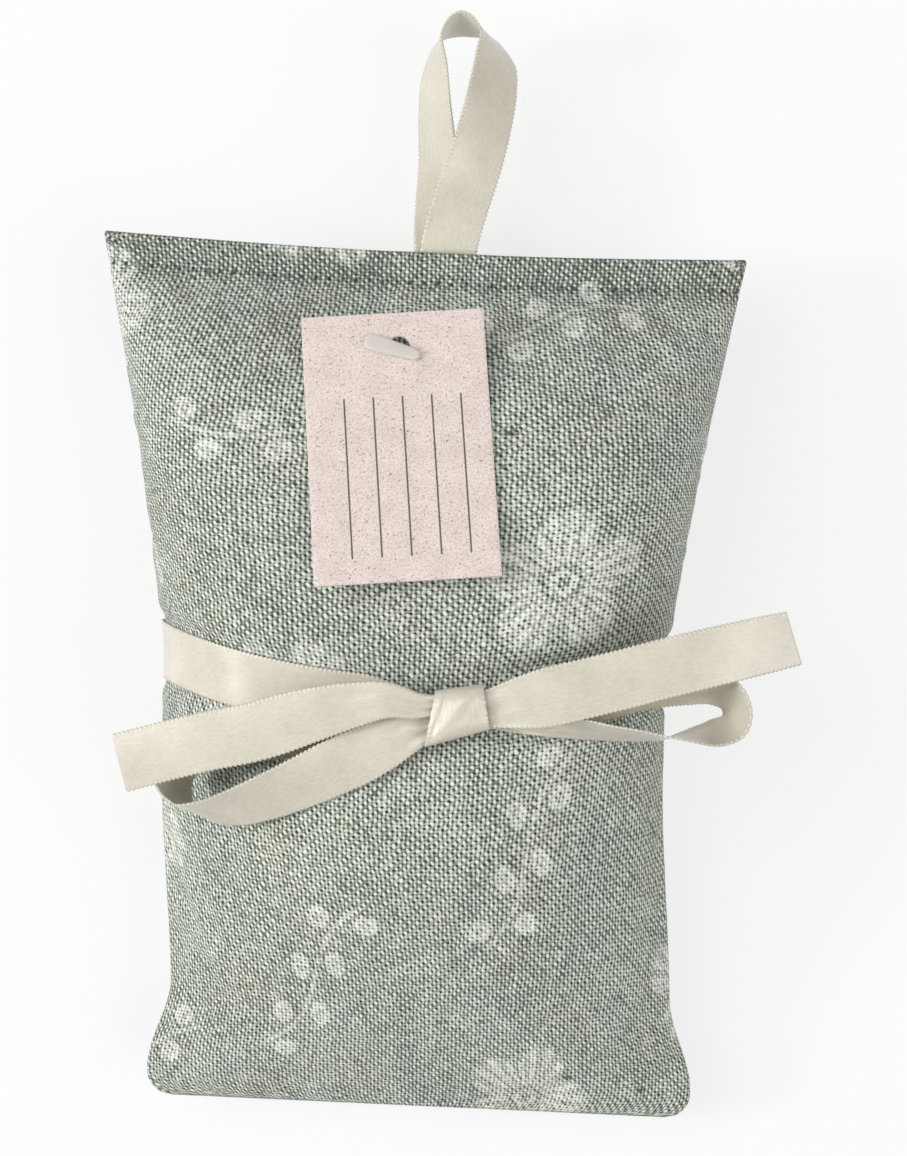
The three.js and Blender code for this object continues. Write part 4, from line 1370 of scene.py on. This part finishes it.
def tag_pin():
    """The pin above the cloth: a blunt oval paddle, wider to the left, on a round stem in the hole."""
    t = np.linspace(-1, 1, 41)
    turn = np.linspace(0, 2 * math.pi, 25)[:-1]
    taper = np.clip(1 - np.abs(t) ** 8, 0.02, 1) ** 0.5
    flare = taper * (1 - PADDLE_FLARE * t)
    x = np.broadcast_to(t[:, None] * PADDLE_LENGTH / 2 + PADDLE_SHIFT, (len(t), len(turn)))
    y = flare[:, None] * blunt(np.cos(turn), 0.6) * PADDLE_WIDTH / 2 - PADDLE_DROP
    z = taper[:, None] * blunt(np.sin(turn), 0.8) * PADDLE / 2 + CARD / 2 + FIT_GAP + PADDLE / 2
    paddle = turned(np.stack([x, y, z], axis=-1), PADDLE_TURN)
    depth = np.linspace(STEM_FOOT, STEM_TOP, 12)[:, None]
    round_x, round_y = STEM_RADIUS * np.cos(turn)[None], STEM_RADIUS * np.sin(turn)[None]
    stem = np.stack(np.broadcast_arrays(round_x, round_y, depth), axis=-1)
    grids = []
    for rings in (paddle, stem):
        closed = np.concatenate([rings, rings[:, :1]], axis=1)
        grids.append(lidded(closed, rings[[0, -1]].mean(axis=1)))
    faces = [grid_faces(*g.shape[:2]) for g in grids]
    faces[1] = faces[1] + grids[0].shape[0] * grids[0].shape[1]
    points = np.concatenate([g.reshape(-1, 3) for g in grids])
    piece = mesh_piece("tag_pin_paddle", on_tag(points), np.concatenate(faces))
    clean_mesh(piece)
    dress(piece, NYLON, ["tag_pin_head"], "tag_pin")


# Stage


def floor():
    """Plain pale floor: white to the camera apart from the object's soft shadow."""
    mesh = bpy.data.meshes.new("floor")
    corners = [(x * FLOOR_HALF, y * FLOOR_HALF, 0) for x, y in ((-1, -1), (1, -1), (1, 1), (-1, 1))]
    mesh.from_pydata(corners, [], [(0, 1, 2, 3)])
    piece = placed("floor", mesh)
    material, tree, shader = new_finish("pale_floor", 0.9, 0.1)
    shader.inputs["Base Color"].default_value = (0.82, 0.82, 0.82, 1)
    glow = tree.nodes.new("ShaderNodeEmission")
    glow.inputs["Color"].default_value = (1, 1, 1, 1)
    rays = tree.nodes.new("ShaderNodeLightPath")
    seen = Field(tree, rays.outputs["Is Camera Ray"])
    seen = seen.highest(Field(tree, rays.outputs["Is Glossy Ray"]))
    seen = seen.highest(Field(tree, rays.outputs["Is Transmission Ray"]))
    blend = tree.nodes.new("ShaderNodeMixShader")
    connect(tree, seen * FLOOR_GLOW, blend.inputs[0])
    tree.links.new(shader.outputs[0], blend.inputs[1])
    tree.links.new(glow.outputs[0], blend.inputs[2])
    tree.links.new(blend.outputs[0], tree.nodes["Material Output"].inputs[0])
    mesh.materials.append(material)


def area_lamp(name, place, size, power):
    """A square lamp of that size in metres, facing the aim."""
    lamp = bpy.data.lights.new(name, "AREA")
    lamp.energy = power
    lamp.size = size
    holder = placed(name, lamp)
    holder.location = place
    way = np.array(LAMP_AIM) - np.array(place)
    flat = math.hypot(way[0], way[1])
    holder.rotation_euler = (math.atan2(flat, -way[2]), 0, math.atan2(-way[0], way[1]))


def lights():
    """A soft key from the upper left, a low one beside it, a fill from the right and a pale surround."""
    for name, place, size, power in LAMPS:
        area_lamp(name, place, size, power)
    world = bpy.data.worlds.new("studio")
    bpy.context.scene.world = world
    world.use_nodes = True
    tree = world.node_tree
    surround = tree.nodes["Background"]
    rays = tree.nodes.new("ShaderNodeLightPath")
    seen = Field(tree, rays.outputs["Is Camera Ray"])
    connect(tree, seen.ease(0.0, 1.0, SURROUND, 1.0), surround.inputs["Strength"])
    surround.inputs["Color"].default_value = (1, 1, 1, 1)


def camera():
    """The photograph's camera, looking straight down, turned a little about its line of sight."""
    lens = bpy.data.cameras.new("camera")
    lens.sensor_width = SENSOR
    lens.lens = FOCAL_PX / PHOTO_HEIGHT_PX * SENSOR
    holder = placed("camera", lens)
    holder.location = [c * MM for c in CAMERA_PLACE]
    holder.rotation_euler = (0, 0, math.radians(CAMERA_TURN))
    bpy.context.scene.camera = holder


camera()
lights()
floor()
bpy.context.scene.view_settings.view_transform = "Standard"

fine_rows = even_rows(ROWS)
sim_rows = even_rows(SIM_ROWS)
# Places along the cloth: lengths up the centre line, with the swell counted by half
cloth_rows = lengths_along(bag_point(FRONT, 0.0, fine_rows) * [1, 1, 0.5])
panel_length = cloth_rows[-1]
stitch_line = float(np.interp(STITCH_Y, fine_rows, cloth_rows))
LINEN = linen()
SATIN = satin()
CARD_STOCK = card()
NYLON = nylon()
THREAD = sewing_thread()
BUDS = dried_buds()

shifts = settle(*[panel_grid(face, SIM_COLUMNS, sim_rows) for face in (FRONT, BACK)])
cover_panel("front_linen", FRONT, "front_panel", shifts[0])
cover_panel("back_linen", BACK, "back_panel", shifts[1])
buds()
closing_stitches("hem_stitches_front", FRONT, "closing_stitch_front")
closing_stitches("hem_stitches_back", BACK, "closing_stitch_back")
for node, finish in (
    ("side_seam_thread_left", THREAD),
    ("side_seam_thread_right", THREAD),
    ("foot_seam_thread", THREAD),
    ("tag_pin_bar", NYLON),
):
    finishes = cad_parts[node].data.materials
    finishes.clear()
    finishes.append(finish)

waist_band()
bow_side("left", -1, LEFT_LOOP_ROUTE, LEFT_LOOP_FOLDS, LEFT_TAIL_ROUTE, LEFT_TAIL_FOLDS)
bow_side("right", 1, RIGHT_LOOP_ROUTE, RIGHT_LOOP_FOLDS, RIGHT_TAIL_ROUTE, RIGHT_TAIL_FOLDS)
knot()
hanging_loop()
swing_tag()
tag_pin()
